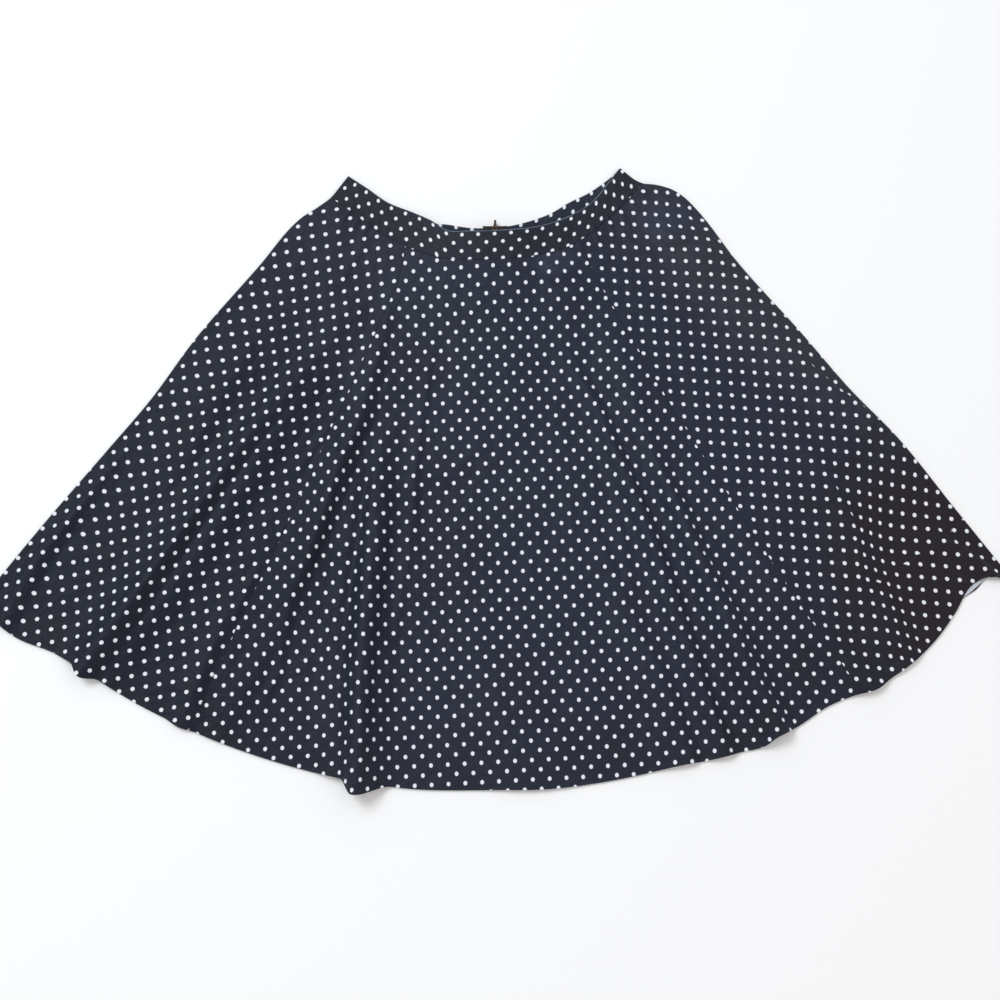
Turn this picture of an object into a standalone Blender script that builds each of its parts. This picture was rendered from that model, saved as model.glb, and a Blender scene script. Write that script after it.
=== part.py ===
"""Swing skirt with a contoured waistband, laid flat on its back.

The skirt is a flared cone of gores. Laid flat it becomes a fan, so every piece is placed by
an angle and a radius round the fan's centre, FLARE_CENTRE. Angles are in degrees from the
centre line that runs from the waist to the hem, positive to the viewer's right. Radii and
all other sizes are in millimetres until a mesh is made. The back lies on the ground, and
the front lies on the back and rises from it in long folds that open at the hem.
"""

import math

import bmesh
import bpy
import numpy as np

for old_object in list(bpy.data.objects):
    bpy.data.objects.remove(old_object, do_unlink=True)

MM = 0.001

# Driving sizes
CLOTH = 1.2
BAND_CLOTH = 1.8
GAP = 0.3
FLARE_CENTRE = (-3.2, 601.2)
CENTRE_BACK_ANGLE = 0.3
BAND_STEP_START = 4.0
BAND_STEP = 20.0
EDGE_ROLL = 1.6
CORNER_ROUND = 12.0
BACK_INSET = 2.2
BACK_HEM_SHORTER = 3.0
WAIST_ARCH = 10.5
WAIST_ARCH_HALF_ANGLE = 23.0
WAIST_ARCH_START = 305.0
WAIST_ARCH_LENGTH = 170.0
ZIP_RISE = 2.6
ZIP_RISE_HALF = 17.0
ZIP_RISE_SHOULDER = 46.0
ZIP_RISE_END = 495.0
ZIP_RISE_FADE = 90.0

# Lines that run from the waist to the hem, as an angle at each radius
RADIAL_LINES = [
    dict(radius=278, left=-35.5, left_seam=-17.6, right_seam=18.2, right=32.9),
    dict(radius=308, left=-35.5, left_seam=-17.6, right_seam=18.2, right=35.0),
    dict(radius=318, left=-35.5, left_seam=-17.6, right_seam=18.2, right=37.0),
    dict(radius=333, left=-35.6, left_seam=-17.6, right_seam=18.1, right=39.0),
    dict(radius=350, left=-36.4, left_seam=-17.4, right_seam=17.9, right=39.95),
    dict(radius=376, left=-37.7, left_seam=-16.7, right_seam=17.8, right=40.15),
    dict(radius=450, left=-37.8, left_seam=-17.3, right_seam=19.4, right=39.3),
    dict(radius=560, left=-37.95, left_seam=-18.4, right_seam=21.2, right=39.3),
    dict(radius=650, left=-37.35, left_seam=-19.0, right_seam=22.5, right=39.15),
    dict(radius=730, left=-37.4, left_seam=-19.5, right_seam=23.4, right=39.45),
    dict(radius=830, left=-37.5, left_seam=-20.1, right_seam=24.3, right=39.05),
    dict(radius=960, left=-37.4, left_seam=-20.5, right_seam=25.6, right=38.65),
]

# Edges that run across the skirt, as a radius at each angle
BAND_EDGES = [
    dict(angle=-35.4, top=299, back_top=300.5, seam=333, back_seam=334.5),
    dict(angle=-30.0, top=300, back_top=301.5, seam=335.5, back_seam=337),
    dict(angle=-24.5, top=304.5, back_top=306, seam=341, back_seam=341.5),
    dict(angle=-18.0, top=306, back_top=308, seam=348.5, back_seam=343.5),
    dict(angle=-13.5, top=311, back_top=311, seam=352, back_seam=344.5),
    dict(angle=-10.0, top=319.5, back_top=309.5, seam=354, back_seam=344.5),
    dict(angle=-5.0, top=318, back_top=310, seam=353, back_seam=344),
    dict(angle=2.7, top=316, back_top=307.5, seam=351.5, back_seam=342),
    dict(angle=8.0, top=315, back_top=303.5, seam=349.5, back_seam=338),
    dict(angle=13.0, top=312, back_top=298.5, seam=347, back_seam=333.5),
    dict(angle=18.0, top=307, back_top=291, seam=340, back_seam=327),
    dict(angle=23.0, top=300, back_top=288, seam=330, back_seam=321.5),
    dict(angle=28.0, top=287.5, back_top=283.5, seam=321.5, back_seam=316.5),
    dict(angle=32.8, top=278, back_top=279, seam=312.5, back_seam=310.5),
    dict(angle=35.4, top=277, back_top=278, seam=307, back_seam=306.5),
]
HEM = [
    dict(angle=-37.4, radius=953),
    dict(angle=-34.0, radius=958),
    dict(angle=-31.0, radius=949),
    dict(angle=-24.0, radius=955),
    dict(angle=-17.0, radius=961),
    dict(angle=-6.0, radius=966),
    dict(angle=0.0, radius=963),
    dict(angle=3.5, radius=964),
    dict(angle=8.0, radius=961.5),
    dict(angle=12.0, radius=959),
    dict(angle=16.0, radius=961.5),
    dict(angle=20.5, radius=955.5),
    dict(angle=23.0, radius=947.5),
    dict(angle=25.7, radius=949),
    dict(angle=28.5, radius=949),
    dict(angle=31.5, radius=940),
    dict(angle=34.0, radius=926),
    dict(angle=36.0, radius=912.5),
    dict(angle=37.3, radius=914.5),
    dict(angle=38.6, radius=936),
]
BACK_HEM_CORNER = dict(angle=36.3, half_angle=2.0, reach=10.0)

# Large folds of the front. crest: (radius, angle) along the top of the fold. start, full,
# fade and gone: radii where it begins, is whole, begins to sink and has sunk. height, and the
# width of its left and right flank, are those where it is whole.
FOLDS = [
    dict(name="left gore fold", crest=((380, -18.6), (500, -23.4), (650, -26.5), (950, -28.6)),
         start=340, full=900, fade=1000, gone=1100, height=23, left=46, right=22),
    dict(name="seam fold", crest=((400, -17.0), (504, -15.9), (665, -16.4), (800, -17.0)),
         start=370, full=610, fade=680, gone=850, height=13, left=38, right=18),
    dict(name="seam ripple", crest=((700, -17.6), (817, -17.0), (911, -18.1), (960, -18.6)),
         start=680, full=860, fade=1000, gone=1100, height=9, left=30, right=18),
    dict(name="left gore ripple", crest=((780, -21.4), (867, -21.4), (950, -21.2)),
         start=740, full=900, fade=1000, gone=1100, height=8, left=24, right=13),
    dict(name="centre fold", crest=((560, -12.9), (700, -11.5), (840, -10.2), (980, -8.7)),
         start=500, full=930, fade=1000, gone=1100, height=30, left=26, right=42),
    dict(name="thin crease", crest=((450, -8.9), (600, -8.4), (720, -7.0), (800, -6.0)),
         start=430, full=560, fade=650, gone=780, height=2.5, left=16, right=9),
    dict(name="centre swell", crest=((600, -3.0), (780, -1.5), (960, 2.0)),
         start=520, full=960, fade=1000, gone=1100, height=5, left=60, right=80),
    dict(name="low ripple", crest=((690, 10.0), (790, 11.3), (870, 12.5), (950, 12.9)),
         start=640, full=900, fade=1000, gone=1100, height=8, left=46, right=15),
    dict(name="long ripple", crest=((430, 6.4), (515, 11.8), (612, 13.7), (723, 14.8), (950, 15.4)),
         start=410, full=640, fade=1000, gone=1100, height=9, left=26, right=13),
    dict(name="right fold", crest=((520, 17.2), (700, 17.9), (800, 18.4), (950, 19.2)),
         start=480, full=900, fade=1000, gone=1100, height=21, left=30, right=24),
    dict(name="right seam swell", crest=((620, 20.8), (720, 22.4), (880, 24.4), (950, 26.3)),
         start=560, full=880, fade=1000, gone=1100, height=10, left=32, right=32),
    dict(name="side tuck", crest=((560, 32.6), (700, 32.0), (820, 30.5), (950, 29.6)),
         start=540, full=820, fade=1000, gone=1100, height=9, left=44, right=20),
    dict(name="side roll", crest=((380, 36.4), (480, 36.9), (600, 37.2), (720, 37.4)),
         start=350, full=440, fade=560, gone=740, height=5, left=48, right=26),
    dict(name="right tip fold", crest=((790, 35.8), (850, 36.7), (930, 38.0)),
         start=780, full=900, fade=1000, gone=1100, height=9, left=22, right=13),
    dict(name="left tip fold", crest=((820, -36.3), (880, -36.0), (950, -35.2)),
         start=700, full=900, fade=1000, gone=1100, height=6, left=16, right=20),
]
SHORT_RISES = [
    dict(name="right hip", angle=35.2, radius=366, height=6.0, across=42, along=44),
    dict(name="belly", angle=11.4, radius=366, height=4.0, across=34, along=24),
    dict(name="left hip", angle=-31.5, radius=352, height=1.5, across=30, along=34),
    dict(name="left thigh", angle=-31.0, radius=560, height=2.5, across=60, along=130),
    dict(name="right thigh", angle=17.6, radius=525, height=4.0, across=46, along=110),
]

# Places where a fold's mouth pushes the hem out
HEM_MOUTHS = [
    dict(angle=-28.6, reach=8, left=1.1, right=1.2),
    dict(angle=-21.2, reach=2.5, left=1.2, right=1.2),
    dict(angle=-9.0, reach=15, left=1.0, right=2.4),
    dict(angle=18.0, reach=3.5, left=1.8, right=1.1),
    dict(angle=26.4, reach=4, left=1.6, right=1.6),
]
EDGE_CALM = 16.0
YOUNG_FLANK = 0.45

# Mesh of the shells
MIDDLE_RADIUS = 600.0
GRID_PASSES = 12
NORMAL_STEP = 0.5
GORE_ROWS = (0, 0.02, 0.045, 0.08, 0.13, 0.2, 0.28, 0.36, 0.44, 0.52, 0.6, 0.68, 0.76, 0.84, 0.92, 1)
BAND_ROWS = (0, 0.5, 1)
BACK_ROWS = (0, 0.02, 0.05, 0.1, 0.2, 0.35, 0.5, 0.65, 0.8, 1)
TAPE_ROWS = (0, 0.1, 0.19, 0.21, 0.23, 0.26, 0.3, 1)
ROLL_STEPS = (30, 60, 90)

# Zip at the centre back
ZIP_LENGTH = 180.0
TAPE_WIDTH = 14.5
TAPE_THICK = 0.6
TAPE_INNER = 0.9
TAPE_PAST_BAND = 1.5
TAPE_STEP = 8.0
SLIDER_THICK = 1.4
HINGE_BELOW_EDGE = 5.0
HINGE_HEIGHT = 1.3
BRIDGE_INNER = 1.2
BRIDGE_OUTER = 2.1
BRIDGE_WIDTH = 2.0
BRIDGE_STEPS = 12
PULL_THICK = 1.2
PULL_BAR = 0.6

# Right halves of the zip's outlines: half the width at each place along it, from the hinge
SLIDER_OUTLINE = [
    dict(half=2.4, along=-5.7),
    dict(half=3.2, along=-2.5),
    dict(half=4.0, along=1.4),
    dict(half=2.8, along=3.8),
    dict(half=1.0, along=2.4),
]
PULL_OUTLINE = [
    dict(half=2.6, along=-0.6),
    dict(half=2.8, along=2.0),
    dict(half=2.6, along=4.2),
    dict(half=1.4, along=8.5),
    dict(half=1.4, along=11.6),
    dict(half=0.8, along=13.0),
]
PULL_EYE = [
    dict(half=1.6, along=0.6),
    dict(half=1.6, along=2.0),
    dict(half=1.6, along=2.7),
    dict(half=1.2, along=3.0),
    dict(half=0.8, along=3.2),
    dict(half=0.3, along=3.3),
]


def column(rows, key, name):
    """A smooth curve through two named columns of a table."""
    xs = np.array([row[key] for row in rows], float)
    ys = np.array([row[name] for row in rows], float)
    steps = np.diff(ys) / np.diff(xs)
    slopes = np.concatenate(([steps[0]], 0.5 * (steps[:-1] + steps[1:]), [steps[-1]]))

    def curve(x):
        x = np.clip(np.asarray(x, float), xs[0], xs[-1])
        i = np.clip(np.searchsorted(xs, x) - 1, 0, len(xs) - 2)
        width = xs[i + 1] - xs[i]
        t = (x - xs[i]) / width
        rise = ys[i + 1] - ys[i]
        start = slopes[i] * width
        end = slopes[i + 1] * width
        return ys[i] + t * start + t * t * (3 * rise - 2 * start - end) + t ** 3 * (start + end - 2 * rise)

    return curve


left_edge = column(RADIAL_LINES, "radius", "left")
left_seam = column(RADIAL_LINES, "radius", "left_seam")
right_seam = column(RADIAL_LINES, "radius", "right_seam")
right_edge = column(RADIAL_LINES, "radius", "right")
band_top = column(BAND_EDGES, "angle", "top")
back_band_top = column(BAND_EDGES, "angle", "back_top")
band_seam = column(BAND_EDGES, "angle", "seam")
back_band_seam = column(BAND_EDGES, "angle", "back_seam")
hem_base = column(HEM, "angle", "radius")


def bump(t):
    """One smooth hump, 1 at t = 0 and 0 from |t| = 1 on."""
    t = np.clip(np.abs(t), 0, 1)
    return np.cos(0.5 * math.pi * t) ** 2


def ramp(t):
    """A smooth step from 0 to 1."""
    t = np.clip(t, 0, 1)
    return t * t * (3 - 2 * t)


def crest_line(fold):
    rows = [dict(radius=radius, angle=angle) for radius, angle in fold["crest"]]
    return column(rows, "radius", "angle")


CREST_LINES = [crest_line(fold) for fold in FOLDS]


def hem_radius(angle):
    """The front hem, pushed out at the mouth of each fold."""
    radius = hem_base(angle)
    for mouth in HEM_MOUTHS:
        off = angle - mouth["angle"]
        radius = radius + mouth["reach"] * bump(off / np.where(off < 0, mouth["left"], mouth["right"]))
    return radius


def back_hem_radius(angle):
    """The back hem: just short of the front's, but past it at the right corner."""
    corner = BACK_HEM_CORNER
    extra = corner["reach"] * bump((angle - corner["angle"]) / corner["half_angle"])
    return hem_base(angle) - BACK_HEM_SHORTER + extra


def fold_height(angle, radius):
    """How far the front rises above where it would lie flat on the back."""
    height = np.zeros(np.broadcast(angle, radius).shape)
    for fold, crest in zip(FOLDS, CREST_LINES):
        grown = ramp((radius - fold["start"]) / (fold["full"] - fold["start"]))
        left_over = 1 - ramp((radius - fold["fade"]) / (fold["gone"] - fold["fade"]))
        across = math.radians(1) * radius * (angle - crest(radius))
        flank = np.where(across < 0, fold["left"], fold["right"]) * (YOUNG_FLANK + (1 - YOUNG_FLANK) * grown)
        height = height + fold["height"] * grown * left_over * bump(across / flank)
    for rise in SHORT_RISES:
        across = math.radians(1) * rise["radius"] * (angle - rise["angle"]) / rise["across"]
        along = (radius - rise["radius"]) / rise["along"]
        height = height + rise["height"] * bump(np.hypot(across, along))
    from_left = math.radians(1) * radius * (angle - left_edge(radius))
    from_right = math.radians(1) * radius * (right_edge(radius) - angle)
    from_side = np.minimum(from_left, from_right)
    calm = ramp((from_side - EDGE_ROLL) / EDGE_CALM)
    arch = bump(angle / WAIST_ARCH_HALF_ANGLE) * (1 - ramp((radius - WAIST_ARCH_START) / WAIST_ARCH_LENGTH))
    from_zip = math.radians(1) * radius * np.abs(angle - CENTRE_BACK_ANGLE) - ZIP_RISE_HALF
    over_zip = (1 - ramp(from_zip / ZIP_RISE_SHOULDER)) * (1 - ramp((radius - ZIP_RISE_END) / ZIP_RISE_FADE))
    return height * calm + np.hypot(WAIST_ARCH * arch, ZIP_RISE * over_zip)


def front_underside(angle, radius):
    """Height of the front's lower face: over the back band, then a step down onto the gores."""
    past = ramp((radius - band_seam(angle) - BAND_STEP_START) / BAND_STEP)
    return GAP + BAND_CLOTH - past * (BAND_CLOTH - CLOTH) + fold_height(angle, radius)


def place(angle, radius, height):
    """A point of the fan, in millimetres."""
    turn = np.radians(angle)
    x = FLARE_CENTRE[0] + radius * np.sin(turn)
    y = FLARE_CENTRE[1] - radius * np.cos(turn)
    return np.stack(np.broadcast_arrays(x, y, height), axis=-1)


def fan_grid(sides, rows, low_angle, high_angle, inner, outer):
    """Angles and radii of a grid between two radial lines and two cross edges.

    sides runs 0 to 1 from the low to the high line, rows 0 to 1 from the waist to the hem.
    """
    across, along = np.meshgrid(sides, rows, indexing="ij")
    angle = 0.5 * (low_angle(MIDDLE_RADIUS) + high_angle(MIDDLE_RADIUS)) * np.ones_like(across)
    for _ in range(GRID_PASSES):
        radius = inner(angle) + along * (outer(angle) - inner(angle))
        angle = low_angle(radius) + across * (high_angle(radius) - low_angle(radius))
    return angle, radius


def shift_line(line, distance):
    """The same radial line, moved sideways by a distance."""
    return lambda radius: line(radius) + np.degrees(distance / radius)


def front_surface(angle, radius, half):
    """Middle of the front cloth, half its thickness above the underside, and its upward normal."""
    step = NORMAL_STEP
    turn = np.degrees(step / radius)
    middle = place(angle, radius, half + front_underside(angle, radius))
    side = place(angle + turn, radius, front_underside(angle + turn, radius))
    other = place(angle - turn, radius, front_underside(angle - turn, radius))
    down = place(angle, radius + step, front_underside(angle, radius + step))
    up = place(angle, radius - step, front_underside(angle, radius - step))
    normal = np.cross(side - other, up - down)
    normal /= np.linalg.norm(normal, axis=-1, keepdims=True)
    return middle, normal


def roll_edge(middle, normal, angle, sign):
    """Extra columns that roll the cloth over a side edge and down past the back."""
    turn = np.radians(angle)
    outward = sign * np.stack([np.cos(turn), np.sin(turn), np.zeros_like(turn)], axis=-1)
    columns = []
    for degrees in ROLL_STEPS:
        tilt = math.radians(degrees)
        drop = np.zeros_like(middle)
        drop[..., 2] = EDGE_ROLL * (1 - math.cos(tilt))
        point = middle + outward * EDGE_ROLL * math.sin(tilt) - drop
        lean = normal * math.cos(tilt) + outward * math.sin(tilt)
        columns.append((point, lean / np.linalg.norm(lean, axis=-1, keepdims=True)))
    return columns


def shell_faces(columns, rows):
    """Faces of a closed shell of two grids, the upper one first."""
    def at(i, j, layer):
        return (layer * columns + i) * rows + j

    faces = []
    for i in range(columns - 1):
        for j in range(rows - 1):
            faces.append((at(i, j, 0), at(i, j + 1, 0), at(i + 1, j + 1, 0), at(i + 1, j, 0)))
            faces.append((at(i, j, 1), at(i + 1, j, 1), at(i + 1, j + 1, 1), at(i, j + 1, 1)))
    for i in range(columns - 1):
        faces.append((at(i, 0, 0), at(i + 1, 0, 0), at(i + 1, 0, 1), at(i, 0, 1)))
        faces.append((at(i + 1, rows - 1, 0), at(i, rows - 1, 0), at(i, rows - 1, 1), at(i + 1, rows - 1, 1)))
    for j in range(rows - 1):
        faces.append((at(0, j + 1, 0), at(0, j, 0), at(0, j, 1), at(0, j + 1, 1)))
        last = columns - 1
        faces.append((at(last, j, 0), at(last, j + 1, 0), at(last, j + 1, 1), at(last, j, 1)))
    return faces


def add_object(name, points, faces, paint, smooth=True):
    """A mesh object from points in millimetres."""
    mesh = bpy.data.meshes.new(name)
    mesh.from_pydata([tuple(float(c) * MM for c in p) for p in points], [], faces)
    mesh.validate()
    if smooth:
        mesh.shade_smooth()
        mesh.set_sharp_from_angle(angle=math.radians(40))
    mesh.materials.append(paint)
    thing = bpy.data.objects.new(name, mesh)
    bpy.context.collection.objects.link(thing)
    return thing


def material(name, colour, roughness, metallic=0.0):
    paint = bpy.data.materials.new(name)
    paint.use_nodes = True
    shader = paint.node_tree.nodes["Principled BSDF"]
    shader.inputs["Base Color"].default_value = (*colour, 1)
    shader.inputs["Roughness"].default_value = roughness
    shader.inputs["Metallic"].default_value = metallic
    return paint


CLOTH_PAINT = material("navy_dot_cotton", (0.03, 0.036, 0.06), 0.8)
TAPE_PAINT = material("brown_zip_tape", (0.06, 0.035, 0.025), 0.9)
METAL_PAINT = material("zip_metal", (0.45, 0.42, 0.38), 0.35, 1.0)


def front_piece(name, low_line, high_line, inner, outer, sides, rows, thick, rolls=()):
    """One front panel: a bent shell on the back, rolled over at each side that rolls names."""
    inset = EDGE_ROLL + 0.5 * thick
    low = shift_line(low_line, inset if "left" in rolls else 0.5 * GAP)
    high = shift_line(high_line, -inset if "right" in rolls else -0.5 * GAP)
    angle, radius = fan_grid(sides, rows, low, high, inner, outer)
    middle, normal = front_surface(angle, radius, 0.5 * thick)
    before = roll_edge(middle[0], normal[0], angle[0], -1)[::-1] if "left" in rolls else []
    after = roll_edge(middle[-1], normal[-1], angle[-1], 1) if "right" in rolls else []
    middle = np.stack([point for point, _ in before] + list(middle) + [point for point, _ in after])
    normal = np.stack([lean for _, lean in before] + list(normal) + [lean for _, lean in after])
    points = np.concatenate([middle + 0.5 * thick * normal, middle - 0.5 * thick * normal])
    add_object(name, points.reshape(-1, 3), shell_faces(*middle.shape[:2]), CLOTH_PAINT)


def ground(angle, radius):
    return np.zeros(np.broadcast(angle, radius).shape)


def flat_piece(name, low_line, high_line, inner, outer, sides, rows, thick, floor, paint):
    """A panel of even thickness that lies on the floor given."""
    angle, radius = fan_grid(sides, rows, low_line, high_line, inner, outer)
    base = floor(angle, radius)
    points = np.concatenate([place(angle, radius, base + thick), place(angle, radius, base)])
    add_object(name, points.reshape(-1, 3), shell_faces(*angle.shape), paint, smooth=False)


def spaced(low_width, count, crowd=()):
    """Even places from 0 to 1, with more of them round the given centres."""
    places = list(np.linspace(0, 1, count))
    for centre, half, more in crowd:
        places += list(np.linspace(centre - half, centre + half, more))
    places = sorted(p for p in places if 0 <= p <= 1)
    kept = [0.0]
    for p in places[1:-1]:
        if p - kept[-1] > low_width and 1 - p > low_width:
            kept.append(p)
    return np.array(kept + [1.0])


def rounded_hem(hem, low_line=None, high_line=None):
    """The hem with its corner rounded off at each side line given."""
    def radius(angle):
        reach = hem(angle)
        round_off = np.zeros_like(reach)
        for line, sign in ((low_line, 1), (high_line, -1)):
            if line:
                inwards = math.radians(1) * reach * sign * (angle - line(reach))
                near = np.clip(inwards / CORNER_ROUND, 0, 1)
                round_off = np.maximum(round_off, CORNER_ROUND * (1 - np.sqrt(1 - (1 - near) ** 2)))
        return reach - round_off
    return radius


def below(edge, distance):
    """A cross edge moved towards the hem by a distance."""
    return lambda angle: edge(angle) + distance


def build_front():
    under_band = below(band_seam, 0.5 * GAP)
    left_corner = rounded_hem(hem_radius, low_line=left_edge)
    right_corner = rounded_hem(hem_radius, high_line=right_edge)
    front_piece("front_centre_gore", left_seam, right_seam, under_band, hem_radius,
                spaced(0.006, 61, ((0.24, 0.09, 23), (0.84, 0.08, 17))), GORE_ROWS, CLOTH)
    front_piece("front_left_gore", left_edge, left_seam, under_band, left_corner,
                np.append([0.0, 0.008, 0.02], spaced(0.02, 23, ((0.52, 0.12, 9),))[1:]),
                GORE_ROWS, CLOTH, rolls=("left",))
    front_piece("front_right_gore", right_seam, right_edge, under_band, right_corner,
                np.append(spaced(0.03, 23)[:-1], [0.98, 0.992, 1.0]),
                GORE_ROWS, CLOTH, rolls=("right",))
    front_piece("waistband_front", left_edge, right_edge, band_top, below(band_seam, -0.5 * GAP),
                np.linspace(0, 1, 37), BAND_ROWS, BAND_CLOTH, rolls=("left", "right"))


def centre_back(radius):
    return CENTRE_BACK_ANGLE + 0 * radius


def build_back():
    """Four back gores and two half bands, flat on the ground."""
    half_gap = 0.5 * GAP
    low_side = shift_line(left_edge, BACK_INSET + 0.5 * CLOTH)
    high_side = shift_line(right_edge, -BACK_INSET - 0.5 * CLOTH)
    left_of_zip = shift_line(centre_back, -half_gap)
    right_of_zip = shift_line(centre_back, half_gap)
    hem = rounded_hem(back_hem_radius, low_side, high_side)
    gores = [
        ("back_left_side_gore", low_side, shift_line(left_seam, -half_gap), 12),
        ("back_centre_left_gore", shift_line(left_seam, half_gap), left_of_zip, 10),
        ("back_centre_right_gore", right_of_zip, shift_line(right_seam, -half_gap), 10),
        ("back_right_side_gore", shift_line(right_seam, half_gap), high_side, 16),
    ]
    for name, low, high, count in gores:
        flat_piece(name, low, high, below(back_band_seam, half_gap), hem,
                   np.linspace(0, 1, count), BACK_ROWS, CLOTH, ground, CLOTH_PAINT)
    bands = [
        ("waistband_back_left", low_side, left_of_zip),
        ("waistband_back_right", right_of_zip, high_side),
    ]
    for name, low, high in bands:
        flat_piece(name, low, high, back_band_top, below(back_band_seam, -half_gap),
                   np.linspace(0, 1, 25), BAND_ROWS, BAND_CLOTH, ground, CLOTH_PAINT)


def tape_floor(angle, radius):
    """The tape lies on the band, then steps down onto the gores."""
    past = ramp((radius - back_band_seam(angle)) / TAPE_STEP)
    return BAND_CLOTH + GAP - past * (BAND_CLOTH - CLOTH)


def tape_start(angle):
    return back_band_top(CENTRE_BACK_ANGLE) - TAPE_PAST_BAND + 0 * angle


def build_tapes():
    end = below(tape_start, ZIP_LENGTH)
    tapes = [("zip_tape_left", -TAPE_WIDTH, -TAPE_INNER), ("zip_tape_right", TAPE_INNER, TAPE_WIDTH)]
    for name, near, far in tapes:
        flat_piece(name, shift_line(centre_back, near), shift_line(centre_back, far), tape_start, end,
                   (0, 1), TAPE_ROWS, TAPE_THICK, tape_floor, TAPE_PAINT)


def mirrored(rows, foot):
    """A closed loop of (x, y) points from a table of half widths, with a first point at the foot."""
    right = [(row["half"], row["along"]) for row in rows]
    return [(0.0, foot)] + right + [(-x, y) for x, y in reversed(right)]


def prism(name, loop, low, high, paint, hole=None):
    """A closed solid: a loop of (x, y) points drawn out in z, with a hole of as many points."""
    count = len(loop)
    points = [(x, y, high) for x, y in loop] + [(x, y, low) for x, y in loop]
    faces = [(i + count, (i + 1) % count + count, (i + 1) % count, i) for i in range(count)]
    if hole is None:
        faces.append(tuple(range(count)))
        faces.append(tuple(range(2 * count - 1, count - 1, -1)))
        return add_object(name, points, faces, paint, smooth=False)
    points += [(x, y, high) for x, y in hole] + [(x, y, low) for x, y in hole]
    for i in range(count):
        j = (i + 1) % count
        faces.append((i, j, j + 2 * count, i + 2 * count))
        faces.append((i + count, i + 3 * count, j + 3 * count, j + count))
        faces.append((i + 2 * count, j + 2 * count, j + 3 * count, i + 3 * count))
    return add_object(name, points, faces, paint, smooth=False)


def bridge_outline(foot):
    """Side view of the half-ring bridge as (y, z) points, its legs going down to the foot."""
    turns = np.linspace(0, math.pi, BRIDGE_STEPS)
    outer = [(BRIDGE_OUTER * math.cos(a), BRIDGE_OUTER * math.sin(a)) for a in turns]
    inner = [(BRIDGE_INNER * math.cos(a), BRIDGE_INNER * math.sin(a)) for a in reversed(turns)]
    return ([(BRIDGE_OUTER, foot)] + outer + [(-BRIDGE_OUTER, foot), (-BRIDGE_INNER, foot)] + inner
            + [(BRIDGE_INNER, foot)])


def build_slider():
    """Slider plate on the tapes with a half-ring bridge, and the pull tab on the bridge."""
    edge = back_band_top(CENTRE_BACK_ANGLE)
    plate_low = BAND_CLOTH + 2 * GAP + TAPE_THICK
    plate_high = plate_low + SLIDER_THICK
    hinge = place(CENTRE_BACK_ANGLE, edge + HINGE_BELOW_EDGE, plate_high + HINGE_HEIGHT)
    hinge_location = [float(c) * MM for c in hinge]
    shield = mirrored(SLIDER_OUTLINE[::-1], 2.4)
    slider = prism("zip_slider", shield[::-1], plate_low - hinge[2], plate_high - hinge[2], METAL_PAINT)
    slider.location = hinge_location

    outline = bridge_outline(-HINGE_HEIGHT - 0.5 * SLIDER_THICK)
    form = bmesh.new()
    side = [form.verts.new((-0.5 * BRIDGE_WIDTH * MM, y * MM, z * MM)) for y, z in outline]
    face = form.faces.new(side)
    drawn = bmesh.ops.extrude_face_region(form, geom=[face])
    moved = [v for v in drawn["geom"] if isinstance(v, bmesh.types.BMVert)]
    bmesh.ops.translate(form, verts=moved, vec=(BRIDGE_WIDTH * MM, 0, 0))
    bmesh.ops.recalc_face_normals(form, faces=form.faces)
    mesh = bpy.data.meshes.new("bridge")
    form.to_mesh(mesh)
    form.free()
    bridge = bpy.data.objects.new("bridge", mesh)
    bpy.context.collection.objects.link(bridge)
    bridge.location = hinge_location
    bridge.hide_render = True
    bridge.display_type = "WIRE"
    weld = slider.modifiers.new("bridge", "BOOLEAN")
    weld.operation = "UNION"
    weld.solver = "EXACT"
    weld.object = bridge

    pull = prism("zip_pull", mirrored(PULL_OUTLINE, -PULL_BAR), -0.5 * PULL_THICK, 0.5 * PULL_THICK,
                 METAL_PAINT, hole=mirrored(PULL_EYE, PULL_BAR))
    pull.location = hinge_location


build_front()
build_back()
build_tapes()
build_slider()
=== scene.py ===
# %% [markdown]
# # A polka-dot swing skirt, laid flat
#
# The real skirt is cut from a light navy cotton sateen, printed with small white dots. It is sewn
# from flared gores under a shaped waistband, closed by a zip at the centre back, and laid on its
# back for the camera. Laid flat, a flared skirt is a fan, so this script works in the fan's own
# coordinates: an angle from the centre line and a radius from the point where the side edges meet.
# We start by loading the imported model. It is the fixed frame that every new piece has to follow.

# %% Load the frame
import math

import bmesh
import bpy
import numpy as np
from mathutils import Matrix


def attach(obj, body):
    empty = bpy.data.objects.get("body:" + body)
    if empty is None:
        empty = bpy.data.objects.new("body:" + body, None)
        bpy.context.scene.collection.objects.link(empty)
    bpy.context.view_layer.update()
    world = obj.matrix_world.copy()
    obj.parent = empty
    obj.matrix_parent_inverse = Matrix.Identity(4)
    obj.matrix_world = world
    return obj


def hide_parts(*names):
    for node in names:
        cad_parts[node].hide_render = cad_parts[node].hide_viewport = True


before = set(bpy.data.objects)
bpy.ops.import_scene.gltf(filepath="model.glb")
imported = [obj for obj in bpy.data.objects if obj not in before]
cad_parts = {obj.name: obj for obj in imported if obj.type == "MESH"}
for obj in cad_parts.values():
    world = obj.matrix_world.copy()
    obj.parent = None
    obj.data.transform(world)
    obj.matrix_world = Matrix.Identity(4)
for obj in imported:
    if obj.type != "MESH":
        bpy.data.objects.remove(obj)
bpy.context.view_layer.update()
SKIRT = "skirt"
MM = 0.001

# %% [markdown]
# ## The camera
#
# The photo looks almost straight down: the band's back edge shows just past its front edge, and
# the dots are only a little closer together from top to bottom than from side to side. That gives
# an elevation of about 78 degrees. A camera with no shift and no depth of field keeps its framing
# honest when the same scene is looked at from another side.

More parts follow.
